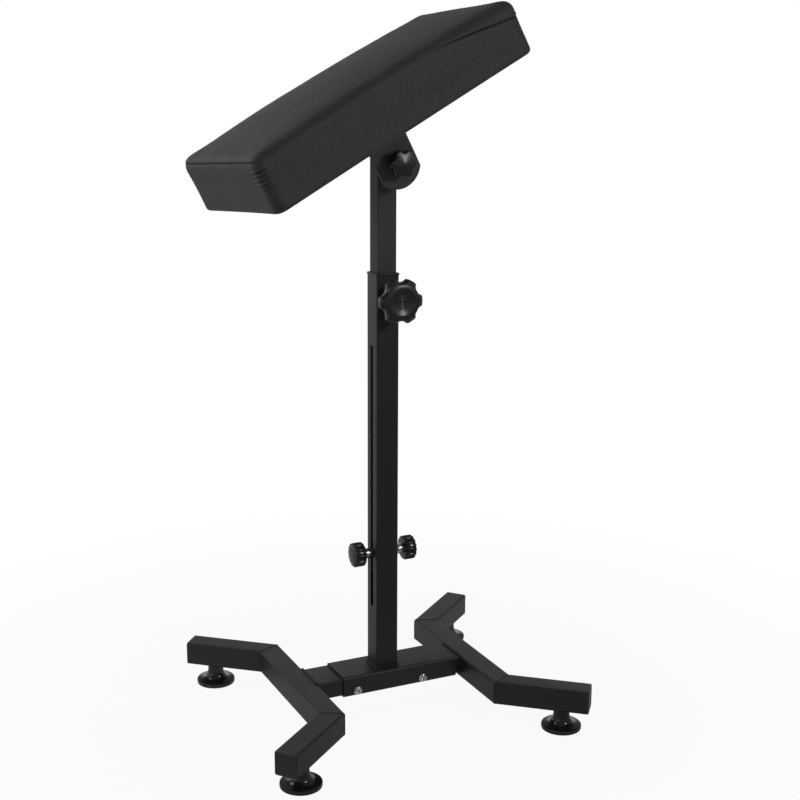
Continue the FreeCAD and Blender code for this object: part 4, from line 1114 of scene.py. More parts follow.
class ARMREST_OT_lay_welds(bpy.types.Operator):
    """Lay the painted weld beads of the column, the stubs and the mitres"""
    bl_idname = "armrest.lay_welds"
    bl_label = "Lay Welds"

    def execute(self, context):
        hardware = settings().hardware
        half = TUBE_SIDE / 2
        foot_of_column = Matrix.Translation((0, 0, SLEEVE_TOP * MM)) @ MILLIMETRES
        add_bead("column_bead", [rounded_loop(half, half, TUBE_CORNER, 0, foot_of_column)],
                 hardware.weld_leg * COLUMN_BEAD_SHARE, "base", replaced=("column_weld",))
        loops = []
        for side in LEGS.values():
            stub = facing((side, 0, 0), Vector((side * STUB_REACH, 0, STUB_HEIGHT)) * MM)
            loops.append(rounded_loop(STUB_SIZE[1] / 2, STUB_SIZE[0] / 2, STUB_CORNER, 0, stub))
        add_bead("stub_beads", loops, hardware.weld_leg * STUB_BEAD_SHARE, "base", replaced=("stub_welds",))
        self.bead_mitres(hardware.mitre_bead)
        low, high, middle = box_of("height_nut")
        across = across_flats(low, high)
        seat = towards_front(in_mm(middle.x), in_mm(high.y), in_mm(middle.z))
        nut = loop_about(seat, lambda angle: hexagon_reach(across, angle), 48)
        add_bead("nut_bead", [nut], NUT_BEAD * MM, "base")
        boss = loop_about(towards_front(0, -POST_SIDE / 2, PIVOT_HEIGHT), lambda angle: BOSS_RADIUS, 60)
        add_bead("boss_bead", [boss], BOSS_BEAD * MM, "mast")
        return {"FINISHED"}

    @staticmethod
    def bead_mitres(radius):
        """A ground bead round the tube on each of the four mitres."""
        inner = TUBE_SIDE / 2 - MITRE_SUNK_SHARE * in_mm(radius)
        loops = []
        for leg, end in CORNERS:
            along = Vector((0, ENDS[end], 0))
            lean = (along + arm_direction(leg, end)).normalized()
            corner = Vector((LEGS[leg] * LEG_SPREAD, ENDS[end] * LEG_HALF_SPAN, LEG_MIDDLE_HEIGHT))
            loop = []
            for point in rounded_loop(inner, inner, TUBE_CORNER, 0, Matrix.Identity(4), 4):
                flat = Vector((point.x, 0, point.y))
                slide = -flat.dot(lean) / along.dot(lean)
                loop.append((corner + flat + along * slide) * MM)
            loops.append(loop)
        add_bead("mitre_beads", loops, radius, "base", MITRE_RIPPLE_SHARE)


class ARMREST_OT_fit_hardware(bpy.types.Operator):
    """Fit the bolts, nuts, washers, ferrules and threads"""
    bl_idname = "armrest.fit_hardware"
    bl_label = "Fit Hardware"

    def execute(self, context):
        self.fit_sleeve_bolts()
        self.fit_height_screw()
        self.fit_tilt_bolt()
        self.fit_clamp()
        self.fit_pad_screws()
        return {"FINISHED"}

    @staticmethod
    def fit_sleeve_bolts():
        """Domed heads with a hexagon socket, side by side on the sleeve's front."""
        socket = SLEEVE_BOLT_SOCKET[0][0]

        def reach(angle, radius, height):
            return (hexagon_reach(2 * socket, angle), height) if radius == socket else (radius, height)
        low, high, middle = box_of("sleeve_bolts")
        shape = bmesh.new()
        for x in (in_mm(low.x) + SLEEVE_BOLT_RADIUS, in_mm(high.x) - SLEEVE_BOLT_RADIUS):
            add_turning(shape, SLEEVE_BOLT_SHANK + SLEEVE_BOLT_DOME + SLEEVE_BOLT_SOCKET,
                        towards_front(x, in_mm(low.y) + SLEEVE_BOLT_HEAD, in_mm(middle.z)), 48, reach)
        new_piece("domed_sleeve_bolts", mesh_from("domed_sleeve_bolts", shape), "base", "bright_plating",
                  ("sleeve_bolts",), 32)

    @staticmethod
    def fit_height_screw():
        """The nut that is welded to the column and the threaded stud of the height knob."""
        low, high, middle = box_of("height_nut")
        shape = bmesh.new()
        add_hexagon(shape, across_flats(low, high), in_mm(high.y - low.y),
                    towards_front(0, in_mm(high.y), in_mm(middle.z)), HEIGHT_NUT_BORE)
        new_piece("welded_height_nut", mesh_from("welded_height_nut", shape), "base", "powder_coat",
                  ("height_nut",), 25)
        low, high, middle = box_of("height_screw")
        place = Matrix.Translation((middle.x, high.y, middle.z)) @ Matrix.Rotation(QUARTER_TURN, 4, "X")
        add_thread("threaded_height_screw", HEIGHT_SCREW_RADIUS, high.y - low.y,
                   settings().hardware.height_pitch, place, "height_screw")

    @staticmethod
    def fit_tilt_bolt():
        """The hexagon bolt through the post and the ear, its washer and the knob's brass insert."""
        low, high, _ = box_of("tilt_bolt")
        shank = in_mm(high.y - low.y) - TILT_BOLT_HEAD
        shape = bmesh.new()
        add_hexagon(shape, TILT_BOLT_ACROSS, TILT_BOLT_HEAD, on_pivot("tilt_bolt"))
        outline = ((0, 0), (TILT_BOLT_RADIUS, 0), (TILT_BOLT_RADIUS, shank - 1), (TILT_BOLT_TIP, shank),
                   (0, shank))
        add_turning(shape, outline, towards_front(0, in_mm(high.y) - TILT_BOLT_HEAD, PIVOT_HEIGHT), 40)
        new_piece("hexagon_tilt_bolt", mesh_from("hexagon_tilt_bolt", shape), "mast", "zinc_plating",
                  ("tilt_bolt",), 25)
        turned_piece("flat_tilt_washer", WASHER_OUTLINE, on_pivot("tilt_washer"), "mast", "bright_plating",
                     "tilt_washer", segments=56, closed=True)
        turned_piece("brass_insert", BRASS_OUTLINE, on_pivot("tilt_knob_insert"), "tilt_insert", "brass",
                     "tilt_knob_insert", closed=True)

    @staticmethod
    def fit_clamp():
        """The through bolt and a bright ferrule on each side of the column."""
        refinish("plated_", "zinc_plating", ["clamp_bolt"])
        for side in LEGS:
            node = side + "_clamp_ferrule"
            turned_piece(side + "_bright_ferrule", FERRULE_OUTLINE, beside_column(side, node),
                         side + "_ferrule", "bright_plating", node, segments=56, closed=True)

    @staticmethod
    def fit_pad_screws():
        """Hexagon heads on washers under the flange, and the tee nuts in the board."""
        refinish("plated_", "zinc_plating", ["tee_nuts"])
        spots = [PAD_FRAME @ (Vector((PAD_SCREW_RING * math.cos(math.radians(angle)),
                                      PAD_SCREW_RING * math.sin(math.radians(angle)), -FLANGE_THICK)) * MM)
                 for angle in PAD_SCREW_ANGLES]
        washer = turning("pad_washer_one", PAD_WASHER_OUTLINE, MILLIMETRES, 32, closed=True)
        shape = bmesh.new()
        on_washer = Matrix.Translation((0, 0, PAD_WASHER_OUTLINE[-1][1] * MM)) @ MILLIMETRES
        add_hexagon(shape, PAD_SCREW_ACROSS, PAD_SCREW_HEAD, on_washer)
        add_turning(shape, PAD_SCREW_SHANK, MILLIMETRES, 24)
        screw = mesh_from("pad_screw_one", shape)
        for name, small, node in (("underside_washers", washer, "pad_washers"),
                                  ("underside_screws", screw, "pad_screws")):
            points = path_mesh(name + "_path", [[spot] for spot in spots], [PAD_DOWN] * len(spots), False)
            made = grown_copies(name, scatter_tree, small, points, {"Seed": settings().hardware.seed},
                                "zinc_plating")
            new_piece(name, made, "tilt_head", "zinc_plating", (node,), 25)


class ARMREST_OT_fit_knobs(bpy.types.Operator):
    """Fit the height knob, the tilt knob and the two side grips"""
    bl_idname = "armrest.fit_knobs"
    bl_label = "Fit Knobs"

    def execute(self, context):
        knobs = settings().knobs
        _, high, middle = box_of("height_knob")
        turned_piece("star_height_knob", STAR_HUB + STAR_RIM + self.star_face(knobs),
                     towards_front(0, in_mm(high.y), in_mm(middle.z)), "height_knob", "star_plastic",
                     "height_knob", crease=40, segments=144,
                     reach=scalloped(knobs.star_lobes, knobs.star_notch, *STAR_SCALLOPS))
        turned_piece("lobed_tilt_knob", TILT_KNOB_OUTLINE, on_pivot("tilt_knob"), "tilt_knob", "star_plastic",
                     "tilt_knob", crease=40, segments=120,
                     reach=scalloped(knobs.star_lobes, knobs.tilt_notch, *TILT_SCALLOPS))
        for side in LEGS:
            knob = side + "_clamp_knob"
            turned_piece(side + "_fluted_grip", GRIP_OUTLINE, beside_column(side, knob), knob, "grip_plastic",
                         knob, crease=40, segments=168,
                         reach=scalloped(knobs.flutes, knobs.flute_depth, *GRIP_SCALLOPS))
        return {"FINISHED"}

    @staticmethod
    def star_face(knobs):
        """The height knob's bowl from its crest to its middle, with fine rings in the middle."""
        rings = []
        for step in range(STAR_FACE_STEPS + 1):
            radius = STAR_CREST * (1 - step / STAR_FACE_STEPS)
            ring = 0.5 - 0.5 * math.cos(FULL_TURN * radius * MM / knobs.star_groove_pitch)
            ring *= 1 - smooth_step(STAR_RINGED - 2, STAR_RINGED, radius)
            bowl = STAR_BOWL * (1 - (radius / STAR_CREST) ** 2)
            rings.append((radius, STAR_HEIGHT - bowl - in_mm(knobs.star_groove) * ring))
        return tuple(rings)


def seam_height(x):
    """The seam's height above the board's underside at a place along the pad."""
    for (start, low), (end, high) in zip(SEAM_LINE, SEAM_LINE[1:]):
        if x <= end:
            return low + (high - low) * ((x - start) / (end - start))
    return SEAM_LINE[-1][1]


def stations(half, corner, step):
    """Places across a box from one side to the other, closer together where its corners turn."""
    outside = [half - corner + climb for climb in reversed(turned_steps(corner))]
    count = max(2, round(2 * (half - corner) / step))
    inside = [-(half - corner) + 2 * (half - corner) * place / count for place in range(count + 1)]
    return [-place for place in outside] + inside + list(reversed(outside))


def turned_steps(corner):
    """Places beyond a corner's start that come evenly spaced when a box's edge is rounded."""
    return [corner * math.tan(math.radians(45 * turn / EDGE_TURNS)) for turn in range(1, EDGE_TURNS + 1)]


class ARMREST_OT_upholster(bpy.types.Operator):
    """Stretch the leatherette cover over its stuffing, with its seam, welt and gathers"""
    bl_idname = "armrest.upholster"
    bl_label = "Upholster Pad"

    def execute(self, context):
        self.corner = in_mm(settings().pad.corner_round)
        refinish("ply_", "birch_plywood", ["pad_board"])
        shape, columns = self.cover_lattice()
        self.stuff(shape)
        self.close_underside(shape, columns)
        cover = bpy.data.meshes.new("cushion_cover")
        shape.to_mesh(cover)
        shape.free()
        cushion = bpy.data.objects.new("cushion_blank", cover)
        context.collection.objects.link(cushion)
        smooth = cushion.modifiers.new("Smooth", "SUBSURF")
        smooth.levels = smooth.render_levels = 1
        finer = baked(cushion, "cushion")
        bpy.data.objects.remove(cushion)
        self.work_surface(finer)
        seam, outs = self.seam_path(finer)
        finer.transform(PAD_FRAME @ MILLIMETRES)
        made = new_piece("cushion", finer, "tilt_head", "leatherette", ("pad_cushion",), 60)
        self.stitch(seam, outs)
        return {"FINISHED"}

    def cover_lattice(self):
        """The cover as a box lattice with rounded edges, open below, and its bottom ring."""
        step = in_mm(settings().pad.grid)
        across = stations(PAD_HALF_LENGTH, self.corner, step)
        along = stations(PAD_HALF_WIDTH, self.corner, step)
        brow = PAD_HEIGHT - self.corner
        rows = [TUCK_ROUND * (1 - math.cos(QUARTER_TURN * turn / EDGE_TURNS))
                for turn in range(EDGE_TURNS + 1)]
        rows += [TUCK_ROUND + (FINE_FROM - TUCK_ROUND) * place / 4 for place in range(1, 4)]
        fine = round((brow - FINE_FROM) / FINE_STEP)
        rows += [FINE_FROM + (brow - FINE_FROM) * place / fine for place in range(fine + 1)]
        rows += [brow + climb for climb in turned_steps(self.corner)]
        shape = bmesh.new()
        climb = shape.verts.layers.float.new("climb")
        last_x, last_y, last_z = len(across) - 1, len(along) - 1, len(rows) - 1
        spots = {}

        def spot(i, j, k):
            if (i, j, k) not in spots:
                made = shape.verts.new(self.rounded(across[i], along[j], rows[k]))
                made[climb] = self.climb_of(across[i], along[j], rows[k], k == last_z)
                spots[i, j, k] = made
            return spots[i, j, k]

        def face(corners, flip=False):
            found = [spot(*corner) for corner in corners]
            shape.faces.new(found[::-1] if flip else found)
        for i in range(last_x):
            for j in range(last_y):
                face(((i, j, last_z), (i + 1, j, last_z), (i + 1, j + 1, last_z), (i, j + 1, last_z)))
        for k in range(last_z):
            for i in range(last_x):
                for j in (0, last_y):
                    face(((i, j, k), (i + 1, j, k), (i + 1, j, k + 1), (i, j, k + 1)), j > 0)
            for j in range(last_y):
                for i in (0, last_x):
                    face(((i, j, k), (i, j + 1, k), (i, j + 1, k + 1), (i, j, k + 1)), i == 0)
        ring = [(i, 0) for i in range(last_x)] + [(last_x, j) for j in range(last_y)]
        ring += [(i, last_y) for i in range(last_x, 0, -1)] + [(0, j) for j in range(last_y, 0, -1)]
        shape.verts.index_update()
        return shape, [spots[i, j, 0].index for i, j in ring]

    def core_of(self, x, y):
        """The nearest place inside the cover's rounded corners."""
        reach_x, reach_y = PAD_HALF_LENGTH - self.corner, PAD_HALF_WIDTH - self.corner
        return min(max(x, -reach_x), reach_x), min(max(y, -reach_y), reach_y)

    def rounded(self, x, y, z):
        """A point of the box lattice, moved onto the rounded, crowned and drawn-in cover."""
        pad = settings().pad
        brow = PAD_HEIGHT - self.corner
        inner = Vector((*self.core_of(x, y), min(z, brow)))
        out = (Vector((x, y, z)) - inner).normalized()
        point = inner + out * self.corner
        middle_x = 1 - (point.x / PAD_HALF_LENGTH) ** 2
        middle_y = 1 - (point.y / PAD_HALF_WIDTH) ** 2
        waist = 4 * (z / PAD_HEIGHT) * (1 - z / PAD_HEIGHT)
        tuck = TUCK_ROUND * (1 - math.sqrt(1 - max(0, 1 - z / TUCK_ROUND) ** 2))
        point.xy -= out.xy * tuck
        point.z += in_mm(pad.arch) * middle_x * smooth_step(ARCH_FROM, brow, z)
        point.z += in_mm(pad.crown) * middle_x * middle_y * max(0, out.z)
        point.y -= in_mm(pad.draw_in) * (middle_x + SIDE_WAIST_SHARE * waist) * out.y
        point.x -= in_mm(pad.draw_in) * (END_WAIST_SHARE * middle_y + END_WAIST_SHARE * waist) * out.x
        return point

    def climb_of(self, x, y, z, on_top):
        """How far a lattice point is up the cover, along its surface from the bottom edge."""
        brow = PAD_HEIGHT - self.corner
        if not on_top:
            over = max(0, z - brow)
            return min(z, brow) + self.corner * math.atan(over / self.corner)
        inwards = min(PAD_HALF_LENGTH - abs(x), PAD_HALF_WIDTH - abs(y))
        if inwards < self.corner:
            return brow + self.corner * (math.pi / 2 - math.atan((self.corner - inwards) / self.corner))
        return brow + self.corner * math.pi / 2 + inwards - self.corner

    def stuff(self, shape):
        """Gives the cover a share of the form that stuffing pushes out from a slightly smaller start."""
        pad = settings().pad
        resting = [vertex.co.copy() for vertex in shape.verts]
        for vertex in shape.verts:
            vertex.co = SHRUNK_START @ vertex.co
        rim = [edge for edge in shape.edges if edge.is_boundary]
        bottom = bmesh.ops.contextual_create(shape, geom=rim)["faces"]
        cover = bpy.data.meshes.new("cover_blank")
        shape.to_mesh(cover)
        for face in bottom:
            shape.faces.remove(face)
        cover.transform(MILLIMETRES)
        blank = bpy.data.objects.new("cover_blank", cover)
        bpy.context.collection.objects.link(blank)
        held = blank.vertex_groups.new(name="held")
        for vertex in cover.vertices:
            hold = 1 - smooth_step(*HELD_UP_TO, in_mm(vertex.co.z))
            held.add([vertex.index], max(hold, LEAST_HOLD), "REPLACE")
        cloth = blank.modifiers.new("Stuffing", "CLOTH")
        for name, value in STUFFING.items():
            setattr(cloth.settings, name, value)
        cloth.settings.uniform_pressure_force = pad.pressure
        cloth.settings.vertex_group_mass = "held"
        cloth.settings.effector_weights.gravity = 0
        cloth.point_cache.frame_start = 1
        cloth.point_cache.frame_end = STUFFING_STEPS
        for moment in range(1, STUFFING_STEPS + 1):
            bpy.context.scene.frame_set(moment)
        evaluated = blank.evaluated_get(bpy.context.evaluated_depsgraph_get())
        pushed = [vertex.co / MM for vertex in evaluated.data.vertices]
        bpy.data.objects.remove(blank)
        cap = in_mm(pad.swell)
        for vertex, after, rest in zip(shape.verts, pushed, resting):
            move = after - vertex.co
            if move.length > cap:
                move *= cap / move.length
            vertex.co = rest.lerp(vertex.co + move, pad.looseness) if rest.z > BOTTOM_HELD else rest
        bpy.context.scene.frame_set(1)

    def close_underside(self, shape, columns):
        """Folds the cover under the board and closes its inside round the board's recess."""
        shape.verts.ensure_lookup_table()
        climb = shape.verts.layers.float["climb"]
        crease = shape.edges.layers.float.new("crease_edge")
        margin = BOARD_MARGIN - RECESS_GAP
        fold = in_mm(settings().pad.turn_under)
        rings = [[shape.verts[place] for place in columns]]
        for inset, level in ((TUCK_ROUND + HEM_START, 0), (fold, HEM_LIFT), (fold, HEM_EDGE),
                             (margin, HEM_EDGE), (margin, RECESS_HEIGHT)):
            ring = [shape.verts.new(self.inset_point(vertex.co, inset, level)) for vertex in rings[0]]
            for made in ring:
                made[climb] = -inset
            rings.append(ring)
            bridge(shape, rings[-2], ring)
        shape.faces.new(rings[-1])
        for ring in (rings[0], *rings[2:]):
            for first, second in zip(ring, ring[1:] + ring[:1]):
                shape.edges.get((first, second))[crease] = 1
        bmesh.ops.recalc_face_normals(shape, faces=shape.faces)

    def inset_point(self, point, inset, level):
        """A bottom point moved in from the cover's edge, round a corner that tightens."""
        tight = max(1.0, self.corner - inset)
        half_x, half_y = PAD_HALF_LENGTH - inset, PAD_HALF_WIDTH - inset
        core = Vector((*self.core_of(point.x, point.y), 0))
        out = Vector((point.x, point.y, 0)) - core
        out = out.normalized() if out.length > NEAR else Vector((1, 0, 0))
        middle = Vector((min(max(core.x, tight - half_x), half_x - tight),
                         min(max(core.y, tight - half_y), half_y - tight), 0))
        if abs(core.x) >= PAD_HALF_LENGTH - self.corner - NEAR:
            middle.x = math.copysign(half_x - tight, core.x)
        if abs(core.y) >= PAD_HALF_WIDTH - self.corner - NEAR:
            middle.y = math.copysign(half_y - tight, core.y)
        return middle + out * tight + UP * level

    def work_surface(self, mesh):
        """Moves the cover's points for the seam, the welt, the corner gathers and small unevenness."""
        pad = settings().pad
        climbs = [0.0] * len(mesh.vertices)
        mesh.attributes["climb"].data.foreach_get("value", climbs)
        kept = {"seam_gap": [], "seam_shown": [], "fold": []}
        moved = []
        brow = PAD_HEIGHT - self.corner
        for vertex, climb in zip(mesh.vertices, climbs):
            point, out = vertex.co, vertex.normal
            line = seam_height(point.x)
            line_climb = line if line < brow else brow + self.corner * math.asin(
                min(1, (line - brow) / self.corner))
            gap = climb - line_climb
            fold = self.gather(point, out)
            shown = self.seam_shown(point, out)
            # The folds' valleys are kept for the painted shade in the cover's folds
            for name, value in (("seam_gap", gap), ("seam_shown", shown), ("fold", max(0, -fold))):
                kept[name].append(value)
            rise = 0
            if climb > 0:
                rise = shown * in_mm(pad.welt_rise) * math.exp(-((gap - WELT_MIDDLE) / WELT_WIDTH) ** 2)
                rise -= shown * in_mm(pad.seam_depth) * math.exp(-(gap / SEAM_GROOVE_WIDTH) ** 2)
                rise += in_mm(pad.gather_depth) * fold + self.pucker(point, gap)
                uneven = sum(height * noise.noise(point / width + Vector(start))
                             for width, height, start in UNEVENNESS)
                rise += uneven * smooth_step(2, 20, climb)
            moved.append(point + out * rise)
        for vertex, point in zip(mesh.vertices, moved):
            vertex.co = point
        for name, values in kept.items():
            mesh.attributes.new(name, "FLOAT", "POINT").data.foreach_set("value", values)
        mesh.update()

    @staticmethod
    def seam_shown(point, out):
        """How much of the seam shows: on the long sides it sinks into the edge away from the raised end."""
        on_side = smooth_step(*SEAM_ON_SIDE, abs(out.y))
        return 1 - on_side * (1 - smooth_step(*SEAM_SHOWN_FROM, point.x))

    @staticmethod
    def gather(point, out):
        """The folds on an end face next to its corners, from -1 in a fold's valley to 1 on its ridge."""
        pad = settings().pad
        from_corner = PAD_HALF_WIDTH - abs(point.y)
        fade = math.exp(-(from_corner * MM / pad.gather_reach * FOLD_FADE) ** 2) * abs(out.x)
        fade *= CORNER_GATHERS[point.x > 0, point.y > 0]
        window = smooth_step(*FOLDS_FROM, point.z) * (1 - smooth_step(*FOLDS_UP_TO, point.z))
        waver = noise.noise(Vector([part / width for part, width in zip(point, FOLD_WAVER_WIDTHS)]))
        droop = FOLD_DROOP * from_corner + FOLD_WAVER * waver
        return fade * window * math.sin(FULL_TURN * (point.z + droop) * MM / pad.gather_pitch)

    @staticmethod
    def pucker(point, gap):
        """The cover bunched up above the seam at each corner, in small lobes."""
        corner = Vector((math.copysign(PAD_HALF_LENGTH - PUCKER_PLACE[0], point.x),
                         math.copysign(PAD_HALF_WIDTH - PUCKER_PLACE[1], point.y)))
        away = (point.xy - corner).length
        lobe = PUCKER_HEIGHT * math.exp(-(away / PUCKER_REACH) ** 2)
        lobe *= math.exp(-((gap - PUCKER_MIDDLE) / PUCKER_WIDTH) ** 2)
        lobe *= CORNER_GATHERS[point.x > 0, point.y > 0]
        angle = math.atan2(point.y - corner.y, point.x - corner.x)
        return lobe * (1 + PUCKER_LOBE_SHARE * math.sin(PUCKER_LOBES * angle))

    @staticmethod
    def seam_path(mesh):
        """The line where the seam gap is nothing, in the row frame, with the way out at each point."""
        gaps = [0.0] * len(mesh.vertices)
        mesh.attributes["seam_gap"].data.foreach_get("value", gaps)
        crossings = {}
        links = {}
        for face in mesh.polygons:
            found = [key for key in face.edge_keys if (gaps[key[0]] < 0) != (gaps[key[1]] < 0)]
            for key in found:
                if key not in crossings:
                    first, second = (mesh.vertices[end] for end in key)
                    share_along = gaps[key[0]] / (gaps[key[0]] - gaps[key[1]])
                    crossings[key] = (first.co.lerp(second.co, share_along),
                                      first.normal.lerp(second.normal, share_along))
            if len(found) == 2:
                links.setdefault(found[0], []).append(found[1])
                links.setdefault(found[1], []).append(found[0])
        start = min(links)
        order = [start]
        before = None
        while True:
            following = [key for key in links[order[-1]] if key != before]
            before = order[-1]
            if not following or following[0] == start:
                break
            order.append(following[0])
        place = PAD_FRAME @ MILLIMETRES
        turn = PAD_FRAME.to_3x3()
        points = [place @ (crossings[key][0] + crossings[key][1] * THREAD_LIFT) for key in order]
        return points, [(turn @ crossings[key][1]).normalized() for key in order]

    @staticmethod
    def stitch(points, outs):
        """A row of stitches in the seam, thickest in their middles."""
        half = in_mm(settings().pad.stitch_length) / 2
        outline = [(radius, half * place) for radius, place in STITCH_SHAPE]
        lying = Matrix.Rotation(QUARTER_TURN, 4, "Y") @ MILLIMETRES
        small = turning("stitch_one", outline, lying, 6)
        add_row("seam_stitches", small, points, outs, settings().pad.stitch_pitch, "tilt_head",
                "sewing_thread")


class ARMREST_OT_cover_underside(bpy.types.Operator):
    """Staple the dust cloth over the board and the folded cover"""
    bl_idname = "armrest.cover_underside"
    bl_label = "Cover Underside"

    def execute(self, context):
        inset = in_mm(settings().pad.turn_under) - CLOTH_LAP
        half_x, half_y = PAD_HALF_LENGTH - inset, PAD_HALF_WIDTH - inset
        place = PAD_FRAME @ MILLIMETRES
        shape = bmesh.new()
        columns, rows = CLOTH_GRID
        grid = []
        for row in range(rows + 1):
            line = []
            for column in range(columns + 1):
                x, y = half_x * (2 * column / columns - 1), half_y * (2 * row / rows - 1)
                slack = noise.noise(Vector((x / CLOTH_SLACK_WIDTH, y / CLOTH_SLACK_WIDTH, 3))) * CLOTH_SLACK
                line.append(shape.verts.new(place @ Vector((x, y, CLOTH_HEIGHT + slack))))
            grid.append(line)
        for near, far in zip(grid, grid[1:]):
            for column in range(columns):
                shape.faces.new([near[column], far[column], far[column + 1], near[column + 1]])
        cloth = bpy.data.meshes.new("dust_cloth_sheet")
        shape.to_mesh(cloth)
        shape.free()
        made = new_piece("dust_cloth_sheet", cloth, "tilt_head", "dust_cloth", ("dust_cover",))
        staples = self.staple_rows(half_x - STAPLE_INSET, half_y - STAPLE_INSET)
        2 * half_y * MM
        2 * half_x * MM
        return {"FINISHED"}

    @staticmethod
    def staple_rows(half_x, half_y):
        """Staples round the cloth's edge, their crowns pressed into it."""
        ring = rounded_loop(half_x, half_y, STAPLE_CORNER, STAPLE_LEVEL, PAD_FRAME @ MILLIMETRES, 6)
        stem = bmesh.new()
        sections = []
        for x, z in STAPLE_CORNERS:
            section = []
            for step in range(6):
                angle = FULL_TURN * step / 6
                wide, high = (STAPLE_LEG, 0) if abs(x) > STAPLE_CROWN else (0, STAPLE_WIRE)
                spot = Vector((x + wide * math.cos(angle), STAPLE_WIRE * math.sin(angle),
                               z + high * math.cos(angle)))
                section.append(stem.verts.new(spot * MM))
            sections.append(section)
        stack(stem, sections)
        return add_row("cloth_staples", mesh_from("staple_one", stem), ring, [PAD_DOWN] * len(ring),
                       settings().pad.staple_pitch, "tilt_head", "zinc_plating")


class ARMREST_OT_build_stage(bpy.types.Operator):
    """Set the floor, the light and the camera"""
    bl_idname = "armrest.build_stage"
    bl_label = "Build Stage"

    # The camera's place in metres, its heading, pitch and roll in degrees, and its shift
    camera_place = (-0.70754, -1.52197, 0.8039)
    heading, pitch, roll = -25.0556, -13.19, 0.1218
    shift = (0.01785, -0.0013)
    # Each lamp's place, what it points at and its size, in metres
    lamps = {"rear_lamp": ((-1.5, 0.9, 1.9), (0, 0, 0.5), (1.4, 1.2)),
             "front_lamp": ((0.86, -1.75, 1.28), (0, 0, 0.55), (0.42, 0.3))}
    # Where the mirrored floor brightens towards the rear, and how far out the stand's shadow fades, in metres
    floor_glow_from = (-0.6, 0.25)
    shadow_fades = (0.3, 0.95)
    # The floor's glow in mirrors, in front and by how much more behind, the share of it that hides the
    # floor's own light from the camera, near and by how much more far out, and the same in mirrors
    floor_glow = (0.06, 0.44)
    floor_white = (0.93, 0.07)
    mirrored_white = 0.9
    # The way to the world's bright part: how far to the rear and how far to the left
    rear_way = (0.86, 0.5)
    # Soft edges of the world's parts: towards the rear, above the horizon and above the front panel
    rear_edge = (-0.3, 0.3)
    horizon_edge = (0.2, 0.38)
    panel_edge = (0.1, 0.5)

    def execute(self, context):
        self.lay_floor()
        self.light_world(context.scene)
        self.hang_lamps(context)
        self.stand_camera(context)
        context.scene.view_settings.view_transform = "Standard"
        return {"FINISHED"}

    @staticmethod
    def background_rays(graph):
        """The rays that see the white background, and those that mirror the studio."""
        rays = graph.add("ShaderNodeLightPath")
        seen = graph.maths("MAXIMUM", rays["Is Camera Ray"], rays["Is Transmission Ray"])
        return seen, rays["Is Glossy Ray"]

    @staticmethod
    def eased(graph, value, low, high):
        """0 below a value, 1 above another and smooth between them."""
        return graph.add("ShaderNodeMapRange", {"interpolation_type": "SMOOTHSTEP"},
                         {"Value": value, "From Min": low, "From Max": high})["Result"]

    def lay_floor(self):
        """White paper that keeps a faint shadow near the stand and is plain white further out."""
        half = settings().stage.floor_half
        mesh = bpy.data.meshes.new("studio_floor")
        mesh.from_pydata([(-half, -half, 0), (half, -half, 0), (half, half, 0), (-half, half, 0)], [],
                         [(0, 1, 2, 3)])
        made, graph, place = start_material("studio_floor")
        seen, mirrored = self.background_rays(graph)
        out = graph.add("ShaderNodeVectorMath", {"operation": "LENGTH"}, {0: place})["Value"]
        paper = graph.noise(place, scale=300)
        lit = graph.add("ShaderNodeBsdfDiffuse", {}, {
            "Color": graph.shades(paper, (1, 1, 1), dark=0.78, light=0.82)})["BSDF"]
        beyond = self.eased(graph, graph.parts(place)["Y"], *self.floor_glow_from)
        glow = seen + mirrored * (self.floor_glow[0] + self.floor_glow[1] * beyond)
        white = graph.add("ShaderNodeEmission", {}, {"Strength": glow})["Emission"]
        far_out = self.eased(graph, out, *self.shadow_fades)
        share_white = (seen * (self.floor_white[0] + self.floor_white[1] * far_out)
                       + mirrored * self.mirrored_white)
        mixed = graph.add("ShaderNodeMixShader", {}, {0: share_white, 1: lit, 2: white})["Shader"]
        graph.add("ShaderNodeOutputMaterial", {}, {"Surface": mixed})
        mesh.materials.append(made)
        floor = bpy.data.objects.new("studio_floor", mesh)
        bpy.context.collection.objects.link(floor)

    def light_world(self, scene):
        """White behind the stand, a low panel in front of it and a dark gap overhead between them."""
        stage = settings().stage
        world = bpy.data.worlds.new("studio")
        scene.world = world
        world.use_nodes = True
        world.node_tree.nodes.clear()
        graph = Graph(world.node_tree)
        parts = graph.parts(graph.add("ShaderNodeTexCoord")["Generated"])
        to_rear, to_left = self.rear_way
        rear = self.eased(graph, parts["Y"] * to_rear - parts["X"] * to_left, *self.rear_edge)
        horizon = 1 - self.eased(graph, parts["Z"], *self.horizon_edge)
        panel = 1 - self.eased(graph, parts["Z"], *self.panel_edge)
        light = (stage.shade + (stage.sky - stage.shade) * rear * horizon
                 + (stage.front - stage.shade) * (1 - rear) * panel)
        seen, _ = self.background_rays(graph)
        surface = graph.add("ShaderNodeBackground", {}, {"Color": (1, 1, 1, 1),
                                                         "Strength": light + (1 - light) * seen})
        graph.add("ShaderNodeOutputWorld", {}, {"Surface": surface["Background"]})

    def hang_lamps(self, context):
        """A wide soft lamp behind on the left, and a small one in front on the right for the knobs."""
        for name, (at, aim, size) in self.lamps.items():
            lamp = bpy.data.lights.new(name, "AREA")
            lamp.shape = "RECTANGLE"
            lamp.size, lamp.size_y = size
            lamp.energy = getattr(settings().stage, name)
            hung = bpy.data.objects.new(name, lamp)
            turn = (Vector(aim) - Vector(at)).to_track_quat("-Z", "Y")
            hung.matrix_world = Matrix.Translation(at) @ turn.to_matrix().to_4x4()
            context.collection.objects.link(hung)

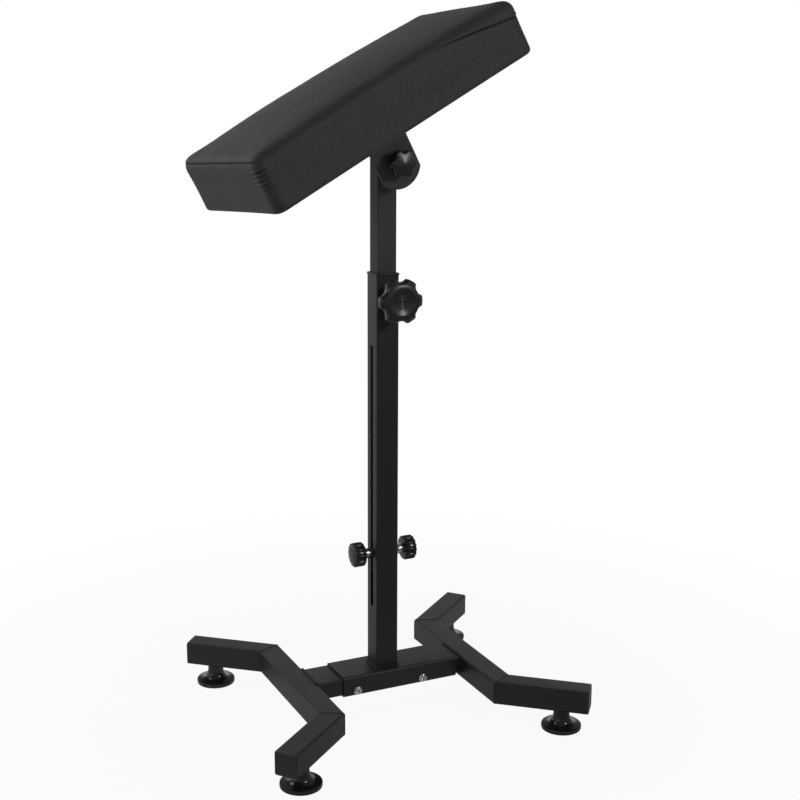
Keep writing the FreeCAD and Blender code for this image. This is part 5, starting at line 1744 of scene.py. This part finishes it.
    def stand_camera(self, context):
        heading, pitch, roll = (math.radians(angle) for angle in (self.heading, self.pitch, self.roll))
        forward = Vector((-math.sin(heading) * math.cos(pitch), math.cos(heading) * math.cos(pitch),
                          math.sin(pitch)))
        right = Vector((math.cos(heading), math.sin(heading), 0))
        upwards = right.cross(forward)
        rolled_right = right * math.cos(roll) + upwards * math.sin(roll)
        rolled_up = upwards * math.cos(roll) - right * math.sin(roll)
        data = bpy.data.cameras.new("camera")
        data.sensor_width = 36
        data.lens = settings().stage.lens
        data.shift_x, data.shift_y = self.shift
        camera = bpy.data.objects.new("camera", data)
        camera.matrix_world = Matrix.Translation(self.camera_place) @ Matrix(
            (rolled_right, rolled_up, -forward)).transposed().to_4x4()
        context.collection.objects.link(camera)
        context.scene.camera = camera


BUILD_ORDER = (ARMREST_OT_paint_steelwork, ARMREST_OT_close_tubes, ARMREST_OT_set_feet,
               ARMREST_OT_lay_welds, ARMREST_OT_fit_hardware, ARMREST_OT_fit_knobs, ARMREST_OT_upholster,
               ARMREST_OT_cover_underside, ARMREST_OT_build_stage)


class ARMREST_PT_panel(bpy.types.Panel):
    """The stand's settings and build steps"""
    bl_label = "Arm Rest Stand"
    bl_idname = "ARMREST_PT_panel"
    bl_space_type = "VIEW_3D"
    bl_region_type = "UI"
    bl_category = "Arm Rest"

    def draw(self, context):
        layout = self.layout
        for group in ("paint", "pad", "knobs", "hardware", "stage"):
            chosen = getattr(context.scene.arm_rest, group)
            box = layout.box()
            box.label(text=group.title())
            for name in chosen.__annotations__:
                box.prop(chosen, name)
        for step in BUILD_ORDER:
            layout.operator(step.bl_idname)


CLASSES = (ArmRestPaint, ArmRestPad, ArmRestKnobs, ArmRestHardware, ArmRestStage, ArmRestSettings,
           *BUILD_ORDER, ARMREST_PT_panel)


def register():
    for item in CLASSES:
        bpy.utils.register_class(item)
    bpy.types.Scene.arm_rest = PointerProperty(type=ArmRestSettings)


def unregister():
    del bpy.types.Scene.arm_rest
    for item in reversed(CLASSES):
        bpy.utils.unregister_class(item)


def main():
    register()
    for step in BUILD_ORDER:
        group, name = step.bl_idname.split(".")
        getattr(getattr(bpy.ops, group), name)()


if __name__ == "__main__":
    main()
